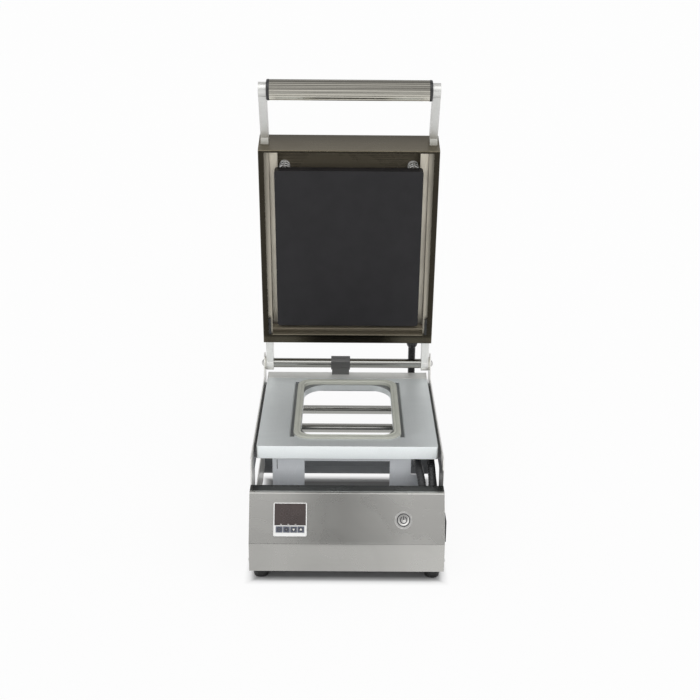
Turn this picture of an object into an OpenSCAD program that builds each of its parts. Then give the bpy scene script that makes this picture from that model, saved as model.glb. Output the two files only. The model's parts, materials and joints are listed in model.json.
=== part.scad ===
// Hand operated tray sealer: a heated lid closes on a sliding die that holds a food tray.
// Frame: origin on the floor under the middle of the base, +X right, +Y to the rear, +Z up.
// "Reach" values are measured forward of the hinge axis. The lid stands open, as parked.

/* [Base] */
// Width over the two side plates
base_w = 282; // [262:1:340]
// Reach of the front face
front_reach = 398; // [390:1:480]
// Reach of the rear end, behind the hinge
rear_reach = 158; // [150:1:200]
// Stainless sheet thickness
sheet = 1.5; // [1:0.1:2]
// Height of the rubber feet
foot_h = 18; // [12:1:25]
// Diameter of the rubber feet
foot_d = 26; // [20:1:32]
// Height of the top edge of the side plates
plate_z = 167; // [160:1:172]
// Reach of the front edge of the raised side plates
plate_reach = 336; // [320:1:338]
// Height of the low rear end of the side plates
cradle_z = 60; // [54:1:70]
// Outer radius of the sheet metal bends
bend_r = 3; // [2:0.5:5]

/* [Control box] */
// Height of the crease between the plain strip and the sloping panel
crease_z = 62; // [50:1:66]
// Height of the box top
box_z = 127; // [115:1:130]
// Reach of the upper edge of the sloping panel
panel_top_reach = 363; // [355:1:372]
// Reach of the rear wall of the box
box_back_reach = 339.5; // [338:0.5:345]
// Side of the square temperature controller bezel
ctrl_side = 48; // [48:1:52]
// Distance of the controller from the middle
ctrl_x = -81.5; // [-95:0.5:-70]
// Diameter of the power button head
button_d = 26; // [24:1:30]
// Distance of the power button from the middle
button_x = 81.5; // [70:0.5:95]
// Travel of the power button
button_travel = 2.5; // [1:0.5:3]

/* [Hinge] */
// Height of the hinge axis
hinge_z = 187.5; // [186:0.5:192]
// Diameter of the hinge shaft
shaft_d = 16; // [12:1:18]
// Diameter of the pivot bolt shanks
pivot_d = 8; // [6:1:10]
// Running clearance on the radius of a shaft or pin
run_gap = 0.05; // [0.02:0.01:0.1]

/* [Lid] */
// Opening angle of the parked lid
lid_open = 80.4; // [70:0.1:90]
// Inset of the lid sides from the outer faces of the side plates
lid_inset = 0.5; // [0:0.1:1]
// Distance from hinge axis to the rear wall of the lid
lid_back = 46; // [44:1:50]
// Length of the lid at its rim
lid_len = 340; // [336:1:400]
// Height of the lid from rim to roof
lid_h = 60; // [56:1:70]
// Depth of the lid rim below the hinge axis when closed
rim_drop = 13.5; // [13:0.1:14]
// Thickness of the two lid arms
arm_t = 12; // [8:1:14]
// Depth of the two lid arms
arm_h = 20; // [16:1:22]
// Side gap between each arm and its side plate
arm_gap = 2.5; // [1.5:0.5:4]
// Distance from hinge axis to the handle axis
handle_reach = 481; // [470:1:540]
// Diameter of the handle tube
handle_d = 31; // [24:1:34]

/* [Heater] */
// Width of the heater plate
heater_w = 232; // [200:1:236]
// Length of the heater plate
heater_len = 273; // [250:1:276]
// Thickness of the heater plate
heater_t = 15; // [12:1:16]
// Distance from hinge axis to the rear edge of the heater
heater_back = 80; // [79:1:84]
// Travel of the heater against its springs
heater_travel = 6; // [3:0.5:8]
// Outer diameter of the heater springs
spring_d = 18; // [14:1:18]
// Spring wire diameter
wire_d = 2; // [1.4:0.2:2.4]

/* [Die] */
// Side gap between the die and each side plate
die_inset = 5; // [4:0.5:8]
// Length of the die plate
die_len = 272; // [266:1:276]
// Height of the die top above the floor
die_z = 170; // [168:0.5:170.5]
// Thickness of the die edge
die_t = 20; // [18:1:22]
// Distance from hinge axis to the rear edge of the die
die_back = 26; // [26:1:30]
// Width of the tray opening
open_w = 142; // [120:1:190]
// Length of the tray opening
open_len = 213; // [180:1:215]
// Corner radius of the tray opening
open_r = 38; // [20:1:45]
// Width of the raised rim round the opening
rim_w = 11; // [8:1:13]
// Height of the raised rim above the die
rim_h = 3; // [2:0.1:3.4]
// Play between sliding faces
slide_gap = 0.3; // [0.3:0.05:0.5]

/* [Film cradle] */
// Diameter of the film rollers
roller_d = 16; // [12:1:22]
// Height of the roller axes
roller_z = 40; // [36:1:44]
// Reach behind the hinge of the two roller axes
roller_reach = [59, 142]; // [50:1:150]
// Diameter of the roller axles
axle_d = 8; // [6:1:10]

/* [Hidden] */
$fn = 48;

// Places worked out from the driving sizes
hinge_y = (front_reach - rear_reach) / 2;
half_w = base_w / 2;
inner_w = half_w - sheet;
floor_gap = foot_h;
panel_run = front_reach - panel_top_reach;
panel_rise = box_z - crease_z;
panel_len = sqrt(panel_run * panel_run + panel_rise * panel_rise);
panel_tilt = atan2(panel_rise, panel_run);
panel_mid = panel_len * 0.475;
ear_r = 17.5;
lid_w = base_w - 2 * lid_inset;
die_w = 2 * (inner_w - die_inset);
arm_out = inner_w - arm_gap;
arm_in = arm_out - arm_t;
boss_r = 12;
runner_w = 20;
runner_z = die_z - die_t - slide_gap;
runner_front = die_back + die_len - 6;
bridge_front = die_back - 1.5;
bridge_depth = 26;
block_w = 32;
block_x = -27.5;
collar_r = 10.5;
bush_r = pivot_d / 2 + 2;
head_r = 6;
spring_x = 102.5;
spring_inset = 12.5;
cup_h = 4;
cup_wall = 1.2;
cup_gap = 0.4;
spring_at = [heater_back + spring_inset, heater_back + heater_len - spring_inset];
cover_t = 1;
backing_t = 2;
heater_face = -rim_drop + 0.6;
heater_top = heater_face + cover_t + heater_t;
backing_top = heater_top + backing_t;
roof_z = lid_h - rim_drop;
roof_in = roof_z - sheet;
front_lean = 5.5;
gland_x = 110;
gland_z = 21;
conduit_d = 12.6;
bracket_z = 130;
bracket_reach = -16;
opening_mid = die_back + 21 + open_len / 2;
inlet_reach = 367;
inlet_z = 74;
inlet_w = 30;
inlet_h = 34;
key_pitch = 10.4;
key_w = 9.2;
key_h = 8.4;
key_gap = 0.3;
key_travel = 0.6;
key_up = -14.2;
bezel_t = 6;
cable_r = 6;
foot_screw_r = 2.5;
slot_x = 118;
slot_z = 117;
slot_r = 7.4;
cross_reach = 54;
support_reach = 285;
support_w = 224;

function y_at(reach) = hinge_y - reach;
function unit(v) = v / norm(v);

// Frames and shared shapes

// Extrudes a Y-Z outline along X, from x0 over the width w
module across(x0, w) {
    translate([x0, 0, 0]) rotate([90, 0, 90]) linear_extrude(w) children();
}

// Frame of the lid, drawn closed: hinge axis at the origin, front towards -Y
module on_lid() {
    translate([0, hinge_y, hinge_z]) rotate([-lid_open, 0, 0]) children();
}

// Frame of the sloping panel: origin at the middle of the crease, Y up the slope, Z outward
module on_panel() {
    translate([0, y_at(front_reach), crease_z]) rotate([panel_tilt, 0, 0]) children();
}

// Rounded rectangle with true arcs, centred
module round_rect(w, h, r) {
    square([w - 2 * r, h], center = true);
    square([w, h - 2 * r], center = true);
    for (sx = [-1, 1], sy = [-1, 1])
        translate([sx * (w / 2 - r), sy * (h / 2 - r)]) circle(r);
}

// Rounds the outward corners of a sheet outline
module soften(r) {
    offset(r = r) offset(delta = -r) children();
}

module tube_x(x0, w, r) {
    translate([x0, 0, 0]) rotate([0, 90, 0]) cylinder(r = r, h = w);
}

// Domed screw head on a flat face, pointing +Z, with a hexagon socket
module dome_head(r, h) {
    difference() {
        intersection() {
            cylinder(r = r, h = h);
            translate([0, 0, h - (r * r + h * h) / (2 * h)]) sphere(r = (r * r + h * h) / (2 * h));
        }
        translate([0, 0, h * 0.45]) cylinder(r = r * 0.42, h = h, $fn = 6);
    }
}

// Side plates: control box end, raised sides, hinge ear and low film cradle in one sheet
window_back = 78;
window_front = 272;
window_low = 74;
window_top = 130;
window_r = 12;

module side_sheet() {
    soften(bend_r * 2) {
        polygon([[y_at(front_reach - sheet), floor_gap],
                 [y_at(front_reach - sheet), crease_z - 0.5],
                 [y_at(panel_top_reach - sheet), box_z - sheet - 0.4],
                 [y_at(plate_reach), box_z - sheet - 0.4],
                 [y_at(plate_reach), plate_z],
                 [y_at(ear_r + 3), plate_z],
                 [y_at(ear_r), hinge_z],
                 [y_at(-ear_r), hinge_z],
                 [y_at(-ear_r - 16), cradle_z + 60],
                 [y_at(-ear_r - 26), cradle_z],
                 [y_at(-rear_reach), cradle_z],
                 [y_at(-rear_reach), floor_gap]]);
        translate([hinge_y, hinge_z]) circle(ear_r);
    }
}

// Holes of a side plate: hinge bush, window and roller axles
module side_holes() {
    translate([hinge_y, hinge_z]) circle(bush_r + run_gap);
    translate([y_at((window_back + window_front) / 2), (window_low + window_top) / 2])
        round_rect(window_front - window_back, window_top - window_low, window_r);
    for (back = roller_reach)
        translate([y_at(-back), roller_z]) circle(axle_d / 2 - 1);
}

module side_plate(x0) {
    difference() {
        across(x0, sheet) side_sheet();
        across(x0 - 1, sheet + 2) side_holes();
    }
}

module side_plate_left() {
    color("silver") side_plate(-half_w);
}

module side_plate_right() {
    color("silver") difference() {
        side_plate(half_w - sheet);
        translate([half_w - sheet - 1, y_at(inlet_reach) - inlet_w / 2 + 1.5, inlet_z - inlet_h / 2 + 1.5])
            cube([sheet + 2, inlet_w - 3, inlet_h - 3]);
    }
}

// Front panel: plain strip, sloping panel and top flange bent from one sheet
module box_outline() {
    polygon([[y_at(front_reach), floor_gap - 20],
             [y_at(front_reach), crease_z],
             [y_at(panel_top_reach), box_z],
             [y_at(box_back_reach - 20), box_z],
             [y_at(box_back_reach - 20), floor_gap - 20]]);
}

module panel_outline() {
    intersection() {
        difference() {
            soften(bend_r) box_outline();
            soften(bend_r - sheet) offset(delta = -sheet) box_outline();
        }
        translate([y_at(front_reach), floor_gap])
            square([front_reach - box_back_reach, box_z - floor_gap]);
    }
}

module front_panel() {
    color("lightgray") difference() {
        across(-half_w, base_w) panel_outline();
        on_panel() {
            translate([ctrl_x, panel_mid, 0]) cube([ctrl_side - 3, ctrl_side - 3, 12], center = true);
            translate([button_x, panel_mid, -6]) cylinder(d = barrel_d + 0.2, h = 12);
        }
    }
}

// Holes for the screws of the feet
module foot_holes() {
    at_feet() translate([0, 0, foot_h - 1]) cylinder(r = foot_screw_r + 0.2, h = sheet + 2);
}

// Box pan: floor and rear wall of the control box, with a slot for the cables
module control_box_pan() {
    color("gray") difference() {
        union() {
            translate([-inner_w, y_at(front_reach - sheet), floor_gap])
                cube([2 * inner_w, front_reach - sheet - box_back_reach, sheet]);
            translate([-inner_w, y_at(box_back_reach), floor_gap])
                cube([2 * inner_w, sheet, box_z - sheet - floor_gap]);
        }
        translate([slot_x, y_at(box_back_reach) - 1, slot_z]) rotate([-90, 0, 0])
            linear_extrude(sheet + 2) round_rect(14 + 2 * slot_r, 2 * slot_r, slot_r - 0.1);
        foot_holes();
        for (sx = [-1, 1], up = [0 : 3])
            translate([sx * 40, y_at(box_back_reach) - 1, 70 + up * 10])
                rotate([-90, 0, 0]) linear_extrude(sheet + 2) round_rect(46, 4, 1.9);
    }
}

// Folded angle between the side plates: web at the given reach, flange towards the front
module cross_angle(reach, top, flange) {
    difference() {
        union() {
            translate([-inner_w, y_at(reach), floor_gap]) cube([2 * inner_w, sheet, top - floor_gap]);
            translate([-inner_w, y_at(reach + flange), floor_gap]) cube([2 * inner_w, flange, sheet]);
        }
        foot_holes();
    }
}

module front_cross_member() {
    color("gray") cross_angle(support_reach - sheet, 58, 30);
}

module rear_cross_member() {
    color("gray") cross_angle(cross_reach, 45, 25);
}

// Angles on the side plates that carry the rear feet
module rear_foot_brackets() {
    side = 34;
    rise = 16;
    y0 = y_at(-rear_reach + 36);
    color("silver") for (sx = [-1, 1]) difference() {
        union() {
            translate([sx * (inner_w - side / 2) - side / 2, y0, floor_gap]) cube([side, side, sheet]);
            translate([sx * (inner_w - sheet / 2) - sheet / 2, y0, floor_gap]) cube([sheet, side, rise]);
        }
        foot_holes();
    }
}

// Inverted U that carries the front of the die, with a flange under the runners and a notch on
// the right for the cables
module die_support() {
    foot_z = 58;
    top = runner_z - sheet;
    cheek = 26;
    notch_low = top - 30;
    color("darkgray") {
        difference() {
            translate([-support_w / 2, y_at(support_reach), foot_z])
                cube([support_w, sheet, top - foot_z]);
            translate([-64, y_at(support_reach) - 1, foot_z - 1])
                cube([128, sheet + 2, top - foot_z - 7]);
            translate([-support_w / 2 + 6.4, y_at(support_reach) - 1, top - 22])
                cube([1.2, sheet + 2, 16]);
            translate([support_w / 2 - 16, y_at(support_reach) - 1, notch_low])
                cube([20, sheet + 2, 26]);
        }
        translate([-support_w / 2, y_at(support_reach) + sheet, foot_z])
            cube([sheet, cheek, top - foot_z]);
        translate([support_w / 2 - sheet, y_at(support_reach) + sheet, foot_z])
            cube([sheet, cheek, notch_low - foot_z]);
        translate([-support_w / 2 - 10, y_at(support_reach), top - sheet])
            cube([support_w + 20, 28, sheet]);
    }
}

// Angle runners on the side plates, on which the die edges slide
module die_runners() {
    run = runner_front + 4;
    color("silver") for (sx = [-1, 1]) {
        translate([sx * (inner_w - runner_w / 2) - runner_w / 2, y_at(runner_front), runner_z - sheet])
            cube([runner_w, run, sheet]);
        translate([sx * (inner_w - sheet / 2) - sheet / 2, y_at(runner_front), runner_z - 18])
            cube([sheet, run, 18 - sheet]);
    }
}

module die_guide_strips() {
    guide_w = inner_w - die_w / 2 - slide_gap;
    color("dimgray") for (sx = [-1, 1])
        translate([sx * (inner_w - guide_w / 2) - guide_w / 2, y_at(runner_front), runner_z])
            cube([guide_w, runner_front - die_back, 7]);
}

// Fixed bridge behind the die: it guides the film and carries the centre bearing
module rear_bridge() {
    back = bridge_front - bridge_depth;
    color("gainsboro") across(-die_w / 2, die_w) difference() {
        translate([y_at(bridge_front), runner_z]) square([bridge_depth, die_z - runner_z]);
        translate([y_at(bridge_front - sheet), runner_z - 1])
            square([bridge_depth - 2 * sheet, die_z - runner_z + 1 - sheet]);
    }
}

// Bearing block under the middle of the shaft, narrower at its foot
module centre_bearing_block() {
    color("gray") difference() {
        across(block_x, block_w) difference() {
            polygon([[y_at(9), die_z], [y_at(9), hinge_z - 6], [y_at(collar_r), hinge_z - 3],
                     [y_at(collar_r), hinge_z + 6], [y_at(6), hinge_z + collar_r],
                     [y_at(-6), hinge_z + collar_r], [y_at(-collar_r), hinge_z + 6],
                     [y_at(-collar_r), hinge_z - 3], [y_at(0), die_z]]);
            translate([hinge_y, hinge_z]) circle(shaft_d / 2 + run_gap);
        }
        for (sx = [-1, 1])
            translate([block_x + block_w / 2 + sx * block_w / 2, y_at(-20), die_z - 1])
                cube([3, 80, 20], center = true);
    }
}

// Flanged bushes in the ears, with the washer face towards the arm
module hinge_bushes() {
    color("ivory") for (sx = [-1, 1]) translate([0, hinge_y, hinge_z]) mirror([sx < 0 ? 1 : 0, 0, 0])
        difference() {
            union() {
                tube_x(inner_w, sheet, bush_r);
                tube_x(arm_out + slide_gap, inner_w - arm_out - slide_gap, boss_r - 1);
            }
            tube_x(arm_out - 1, inner_w, pivot_d / 2 + run_gap);
        }
}

// Rubber feet, tapered, each with a screw up through it
foot_x = half_w - 16;
foot_y = [y_at(front_reach - 23), y_at(-rear_reach + 18)];

module at_feet() {
    for (sx = [-1, 1], fy = foot_y) translate([sx * foot_x, fy, 0]) children();
}

module rubber_feet() {
    color("black") at_feet() rotate_extrude()
        polygon([[2.6, 5], [6, 5], [6, 0], [foot_d / 2 - 3.5, 0], [foot_d / 2 - 2.5, 1],
                 [foot_d / 2, foot_h - 3], [foot_d / 2, foot_h], [2.6, foot_h]]);
}

module foot_screws() {
    color("silver") at_feet() {
        translate([0, 0, 5]) rotate([180, 0, 0]) dome_head(4.5, 2.6);
        translate([0, 0, 5]) cylinder(r = foot_screw_r, h = foot_h + sheet - 2);
        translate([0, 0, foot_h + sheet]) cylinder(r = 4.6, h = 3.2, $fn = 6);
    }
}

// Domed screws through the side plates into the box pan, cross members, brackets and runners
frame_screw_at = [[front_reach - 12, 30], [box_back_reach + 8, 30], [support_reach - 12, 32],
                  [cross_reach - 8, 32], [-rear_reach + 10, 28], [runner_front - 14, runner_z - 8],
                  [40, runner_z - 8]];

module frame_screws() {
    color("silver") for (sx = [-1, 1], p = frame_screw_at)
        translate([sx * half_w, y_at(p[0]), p[1]]) rotate([0, sx * 90, 0]) dome_head(3.6, 2);
}

// Temperature controller on the sloping panel
module at_controller() {
    on_panel() translate([ctrl_x, panel_mid, 0]) children();
}

window_w = 45;
window_h = 31;
window_up = 7.2;

module key_places() {
    for (i = [0 : 3]) translate([(i - 1.5) * key_pitch, key_up, 0]) children();
}

module controller_bezel() {
    color("#222222") at_controller() difference() {
        linear_extrude(bezel_t) round_rect(ctrl_side, ctrl_side, 2);
        translate([-window_w / 2, window_up - window_h / 2, bezel_t - 1.6]) cube([window_w, window_h, 3]);
        key_places() translate([-key_w / 2 - key_gap, -key_h / 2 - key_gap, 1])
            cube([key_w + 2 * key_gap, key_h + 2 * key_gap, bezel_t]);
    }
}

module controller_case() {
    side = ctrl_side - 3.6;
    color("#333333") at_controller() difference() {
        translate([-side / 2, -side / 2, -30]) cube([side, side, 30]);
        for (sx = [-1, 1], i = [0 : 5])
            translate([sx * side / 2 - 1, -15 + i * 6 - 1, -26]) cube([2, 2, 20]);
    }
}

module controller_window() {
    color("#301818") at_controller()
        translate([-window_w / 2 + 0.1, window_up - window_h / 2 + 0.1, bezel_t - 1.6])
            cube([window_w - 0.2, window_h - 0.2, 1.2]);
}

// One key of the controller: i counts from the left
module controller_key(i) {
    color("#444444") at_controller() translate([(i - 1.5) * key_pitch, key_up, 0])
        translate([0, 0, 1 + key_travel + 0.4]) linear_extrude(bezel_t - 1.2 - key_travel)
            round_rect(key_w, key_h, 1);
}

module controller_key_1() { controller_key(0); }
module controller_key_2() { controller_key(1); }
module controller_key_3() { controller_key(2); }
module controller_key_4() { controller_key(3); }

// Power button: body with a threaded barrel, light ring, cap and nut
barrel_d = button_d - 4;
cap_r = 8.2;
cap_deep = 8;
barrel_deep = cap_deep + button_travel + 3.5;
ring_r = cap_r + 1.4;
nut_t = 3;

module at_button() {
    on_panel() translate([button_x, panel_mid, 0]) children();
}

module button_body() {
    color("silver") at_button() rotate_extrude()
        polygon([[cap_r + slide_gap, -barrel_deep], [barrel_d / 2, -barrel_deep],
                 [barrel_d / 2, 0], [button_d / 2, 0],
                 [button_d / 2, 1.2], [button_d / 2 - 1, 2.2], [ring_r, 2.2], [ring_r, 0.4],
                 [cap_r + slide_gap, 0.4]]);
}

module button_light_ring() {
    color("#404040") at_button() rotate_extrude()
        polygon([[cap_r + slide_gap, 0.4], [ring_r, 0.4], [ring_r, 1.6], [cap_r + slide_gap, 1.6]]);
}

module button_cap() {
    color("silver") at_button() rotate_extrude()
        polygon([[0, -cap_deep], [cap_r, -cap_deep], [cap_r, 2.6], [cap_r - 0.8, 3.2],
                 [cap_r - 2, 3], [0, 2.6]]);
}

module button_nut() {
    color("dimgray") at_button() translate([0, 0, -sheet - nut_t - 0.1]) difference() {
        cylinder(r = button_d / 2 + 2.4, h = nut_t, $fn = 6);
        translate([0, 0, -1]) cylinder(r = barrel_d / 2 + 0.1, h = nut_t + 2);
    }
}

// Mains inlet on the right-hand side, with a fuse drawer under the socket
module at_inlet() {
    translate([half_w, y_at(inlet_reach), inlet_z]) rotate([90, 0, 90]) children();
}

socket_up = 4.5;
drawer_up = -12;
drawer_w = 22;
drawer_h = 6;
pin_w = 2;
pin_h = 4;

module at_pins() {
    for (p = [[0, 2], [-7, -2], [7, -2]]) translate([p[0], socket_up + p[1], 0]) children();
}

module power_inlet() {
    color("#1a1a1a") at_inlet() difference() {
        union() {
            linear_extrude(2.5) round_rect(inlet_w, inlet_h, 2.5);
            translate([0, 0, -26]) linear_extrude(26) square([inlet_w - 4, inlet_h - 4], center = true);
        }
        translate([0, socket_up, -15]) linear_extrude(20) round_rect(24, 16.4, 2);
        translate([-drawer_w / 2 - slide_gap, drawer_up - drawer_h / 2 - slide_gap, -18])
            cube([drawer_w + 2 * slide_gap, drawer_h + 2 * slide_gap, 30]);
        at_pins() cube([pin_w + 0.1, pin_h + 0.1, 60], center = true);
    }
}

module inlet_pins() {
    color("silver") at_inlet() at_pins() translate([-pin_w / 2, -pin_h / 2, -32]) cube([pin_w, pin_h, 26]);
}

module fuse_drawer() {
    color("#262626") at_inlet() {
        translate([-drawer_w / 2, drawer_up - drawer_h / 2, -17]) cube([drawer_w, drawer_h, 19.8]);
        translate([-4, drawer_up - drawer_h / 2, 2.8]) cube([8, 2, 0.8]);
    }
}

// Power relay and terminal block on the floor of the box
module power_relay() {
    color("#303030") translate([-40, y_at(front_reach - 14), floor_gap + sheet]) difference() {
        cube([58, 28, 44]);
        for (i = [0 : 4]) translate([4 + i * 11, -1, 30]) cube([6, 4, 15]);
    }
}

module terminal_block() {
    color("ivory") translate([30, y_at(front_reach - 16), floor_gap + sheet]) difference() {
        cube([54, 20, 18]);
        for (i = [0 : 4]) translate([7 + i * 10, 10, 9]) cylinder(r = 3, h = 10);
    }
}

// Bracket on the right-hand plate that holds the lower end of the conduit
module conduit_bracket() {
    w = inner_w - gland_x + 14;
    color("silver") difference() {
        union() {
            translate([inner_w - w, y_at(bracket_reach + 14), bracket_z - sheet]) cube([w, 28, sheet]);
            translate([inner_w - sheet, y_at(bracket_reach + 14), bracket_z - 20]) cube([sheet, 28, 20]);
        }
        translate([gland_x, y_at(bracket_reach), bracket_z - 5]) cylinder(r = 8, h = 10);
    }
}

// Strain relief of the conduit: nut, hexagon and a tapered collar, along +Z
module gland_shape(len) {
    difference() {
        union() {
            translate([0, 0, -4]) cylinder(r = 7.9, h = 6);
            translate([0, 0, 0]) cylinder(r = 10.4, h = 6, $fn = 6);
            translate([0, 0, 6]) cylinder(r = 9.5, h = len - 12);
            translate([0, 0, len - 6]) cylinder(r1 = 9.5, r2 = conduit_d / 2 + 0.6, h = 6);
        }
        translate([0, 0, -5]) cylinder(r = conduit_d / 2, h = len + 6);
    }
}

module base_gland() {
    color("#1a1a1a") translate([gland_x, y_at(bracket_reach), bracket_z]) gland_shape(20);
}

// Round flexible tube along a row of centre points, growing from radius r0 to r
tube_sides = 12;
tube_grow = 8;

module flexible_tube(line, r0, r) {
    last = len(line) - 1;
    pts = [for (i = [0 : last])
        let (d = unit(line[min(i + 1, last)] - line[max(i - 1, 0)]),
             e = unit([1, 0, 0] - d[0] * d),
             n = cross(e, d),
             g = r0 + (r - r0) * min(i / tube_grow, 1))
        for (k = [0 : tube_sides - 1])
            line[i] + g * (cos(k * 360 / tube_sides) * e + sin(k * 360 / tube_sides) * n)];
    skin = [for (i = [0 : last - 1], k = [0 : tube_sides - 1])
        let (m = (k + 1) % tube_sides, a = i * tube_sides, b = a + tube_sides)
        [a + k, b + k, b + m, a + m]];
    caps = [[for (k = [0 : tube_sides - 1]) k],
            [for (k = [tube_sides - 1 : -1 : 0]) last * tube_sides + k]];
    polyhedron(points = pts, faces = concat(skin, caps));
}

// Two cables from the bracket along the right-hand plate and through the slot in the rear wall
// of the box, to the terminal block and the relay. Their points are X, reach and height; the
// curve passes through all but the first and the last
outer_cable = [[113, bracket_reach, 142], [113.1, bracket_reach, bracket_z - 3.6],
               [117, bracket_reach + 1, 112], [122, 2, 104], [125, 60, 105], [125.5, 170, 116],
               [125.5, 250, 134], [125.5, 286, 137.5], [126, 316, 127], [125.2, 330, 118.5],
               [slot_x + 7, box_back_reach - 1, slot_z], [121, 348, 112], [104, 359, 84],
               [95, 367, 54], [91, 372, 30], [90, 374, 20]];
inner_cable = [[107, bracket_reach, 142], [106.9, bracket_reach, bracket_z - 3.6],
               [103, bracket_reach + 1, 112], [102, 2, 104], [104, 60, 105], [105, 170, 116],
               [105, 250, 133], [106, 286, 136.5], [109.5, 316, 127], [110.8, 330, 118.5],
               [slot_x - 7, box_back_reach - 1, slot_z], [102, 350, 113], [70, 357, 103],
               [36, 362, 91], [15, 366, 82], [8.5, 367, 73], [7, 367.5, 65.4], [6.6, 368, 58]];
cable_steps = 4;

function in_frame(p) = [p[0], y_at(p[1]), p[2]];

// Point of the smooth curve between points i and i + 1 of a cable, at t from 0 to 1
function cable_at(line, i, t) =
    let (a = in_frame(line[i - 1]), b = in_frame(line[i]), c = in_frame(line[i + 1]),
         d = in_frame(line[i + 2]))
    b + (c - a) * t / 2 + (2 * a - 5 * b + 4 * c - d) * t * t / 2
        + (3 * b - a - 3 * c + d) * t * t * t / 2;

module cable(line) {
    last = len(line) - 2;
    flexible_tube(concat(
        [for (i = [1 : last - 1], k = [0 : cable_steps - 1]) cable_at(line, i, k / cable_steps)],
        [in_frame(line[last])]), 3, cable_r);
}

module cable_run() {
    color("#101010") {
        cable(outer_cable);
        cable(inner_cable);
    }
}

// Film rollers on fixed axles
module roller_axles() {
    color("silver") for (back = roller_reach)
        translate([0, y_at(-back), roller_z]) {
            tube_x(-inner_w, 2 * inner_w, axle_d / 2);
            for (sx = [-1, 1]) translate([sx * half_w, 0, 0]) rotate([0, sx * 90, 0]) dome_head(5, 2.4);
        }
}

module film_roller(back) {
    len = 2 * inner_w - 4;
    color("silver") translate([0, y_at(-back), roller_z]) difference() {
        union() {
            tube_x(-len / 2, len, roller_d / 2);
            for (sx = [-1, 1]) tube_x(sx * (len / 2 - 3) - 3, 6, roller_d / 2 + 0.8);
        }
        tube_x(-len / 2 - 1, len + 2, axle_d / 2 + run_gap);
    }
}

module film_roller_front() { film_roller(roller_reach[0]); }
module film_roller_rear() { film_roller(roller_reach[1]); }

// Lid. Arms: straight from the hinge boss, sloping up through the lid, then cranked down to the grip
arm_rise = 20;
crank_at = lid_back + lid_len + 14;
handle_up = -8;
rod_r = 5;

function arm_z(reach) = arm_rise * reach / crank_at;

// Outline of an arm in the closed frame, grown by g all round: hinge boss, bar, crank and grip end
module arm_outline(g) {
    crank = [-crank_at, arm_rise];
    end = [-handle_reach, handle_up];
    a = unit([-crank[1], crank[0]]) * (arm_h / 2 + g);
    b = unit([crank[1] - end[1], end[0] - crank[0]]) * (arm_h / 2 + g);
    bend = (a + b) / (1 + a * b / (a * a));
    polygon([-a, crank - bend, end - b, end + b, crank + bend, a]);
    circle(boss_r + g);
    translate(end) circle(arm_h / 2 + 1.5 + g);
}

module arm(x0) {
    color("lightgray") on_lid() difference() {
        across(x0, arm_t) arm_outline(0);
        tube_x(x0 - 1, arm_t + 2, shaft_d / 2 + run_gap);
        translate([0, -handle_reach, handle_up]) tube_x(x0 - 1, arm_t + 2, rod_r + run_gap);
    }
}

module arm_left() { arm(-arm_out); }
module arm_right() { arm(arm_in); }

// Folded housing: roof, four walls and a turned-in rim, open underneath
rim_side = 9;
rim_rear = 16;
rim_front = 3;

module lid_profile(g, low) {
    front = -lid_back - lid_len;
    polygon([[-lid_back - g, low], [-lid_back - g, roof_z - g], [front - front_lean + g, roof_z - g],
             [front + g, low]]);
}

// Solid form of the lid, g inside its outer faces, with rounded folds
module lid_form(g) {
    r = bend_r - g;
    low = -rim_drop + g;
    intersection() {
        across(-lid_w / 2 + g, lid_w - 2 * g) soften(r) lid_profile(g, low);
        rotate([90, 0, 0]) linear_extrude(lid_back + lid_len + 40)
            soften(r) translate([-lid_w / 2 + g, low]) square([lid_w - 2 * g, roof_z - g - low]);
    }
}

module lid_housing() {
    color("#6b675f") on_lid() difference() {
        lid_form(0);
        lid_form(sheet);
        translate([-lid_w / 2 + rim_side, -lid_back - lid_len + rim_front, -rim_drop - 1])
            cube([lid_w - 2 * rim_side, lid_len - rim_front - rim_rear, sheet + 2]);
        for (x0 = [-arm_out - 0.2, arm_in - 0.2]) across(x0, arm_t + 0.4) arm_outline(0.2);
        translate([gland_x, -lid_back + 1, gland_z]) rotate([90, 0, 0]) cylinder(r = 8, h = 4);
        for (sx = [-1, 1], a = spring_at)
            translate([sx * spring_x, -a, roof_in - 1])
                cylinder(r = bolt_r + 0.4, h = sheet + 2);
    }
}

// Folded channel across the rear of the lid opening, with its open side out
channel_t = 1.2;

module lid_rear_channel() {
    back = lid_back + rim_rear + 0.1;
    deep = 14;
    w = 2 * (arm_in - 0.1);
    color("#5a564e") on_lid() across(-w / 2, w) {
        translate([-back - 13, -rim_drop + deep]) square([13, channel_t]);
        translate([-back - 13, -rim_drop]) square([channel_t, deep]);
        translate([-back - channel_t, -rim_drop]) square([channel_t, deep]);
    }
}

// Flat rails along the inner faces of the arms, which stiffen the lid
rail_w = 12.8;
rail_t = 3;
rail_z = backing_top + cup_h + heater_travel + 1.4;

module lid_side_rails() {
    color("gainsboro") on_lid() for (sx = [-1, 1])
        translate([sx * (arm_in - rail_w / 2 - 0.1) - rail_w / 2, -lid_back - lid_len + sheet + 1, rail_z])
            cube([rail_w, lid_len - sheet - 7, rail_t]);
}

// Clamp plates that hold the arms to the rear corners of the lid
module arm_clamps() {
    color("#202020") on_lid() for (sx = [-1, 1])
        translate([sx * (lid_w / 2 - bend_r - 5) - 5, -lid_back - bend_r - 42, -rim_drop + sheet])
            difference() {
                cube([10, 42, arm_z(60) - arm_h / 2 + rim_drop - sheet - 1.5]);
                for (a = [10, 32]) translate([5, a, -1]) cylinder(r = 2.2, h = 3);
            }
}

module hinge_shaft() {
    color("silver") translate([0, hinge_y, hinge_z]) difference() {
        tube_x(-arm_out, 2 * arm_out, shaft_d / 2);
        for (sx = [-1, 1]) tube_x(sx * (arm_out - 7) - 8, 16, pivot_d / 2 - 0.5);
    }
}

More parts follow.
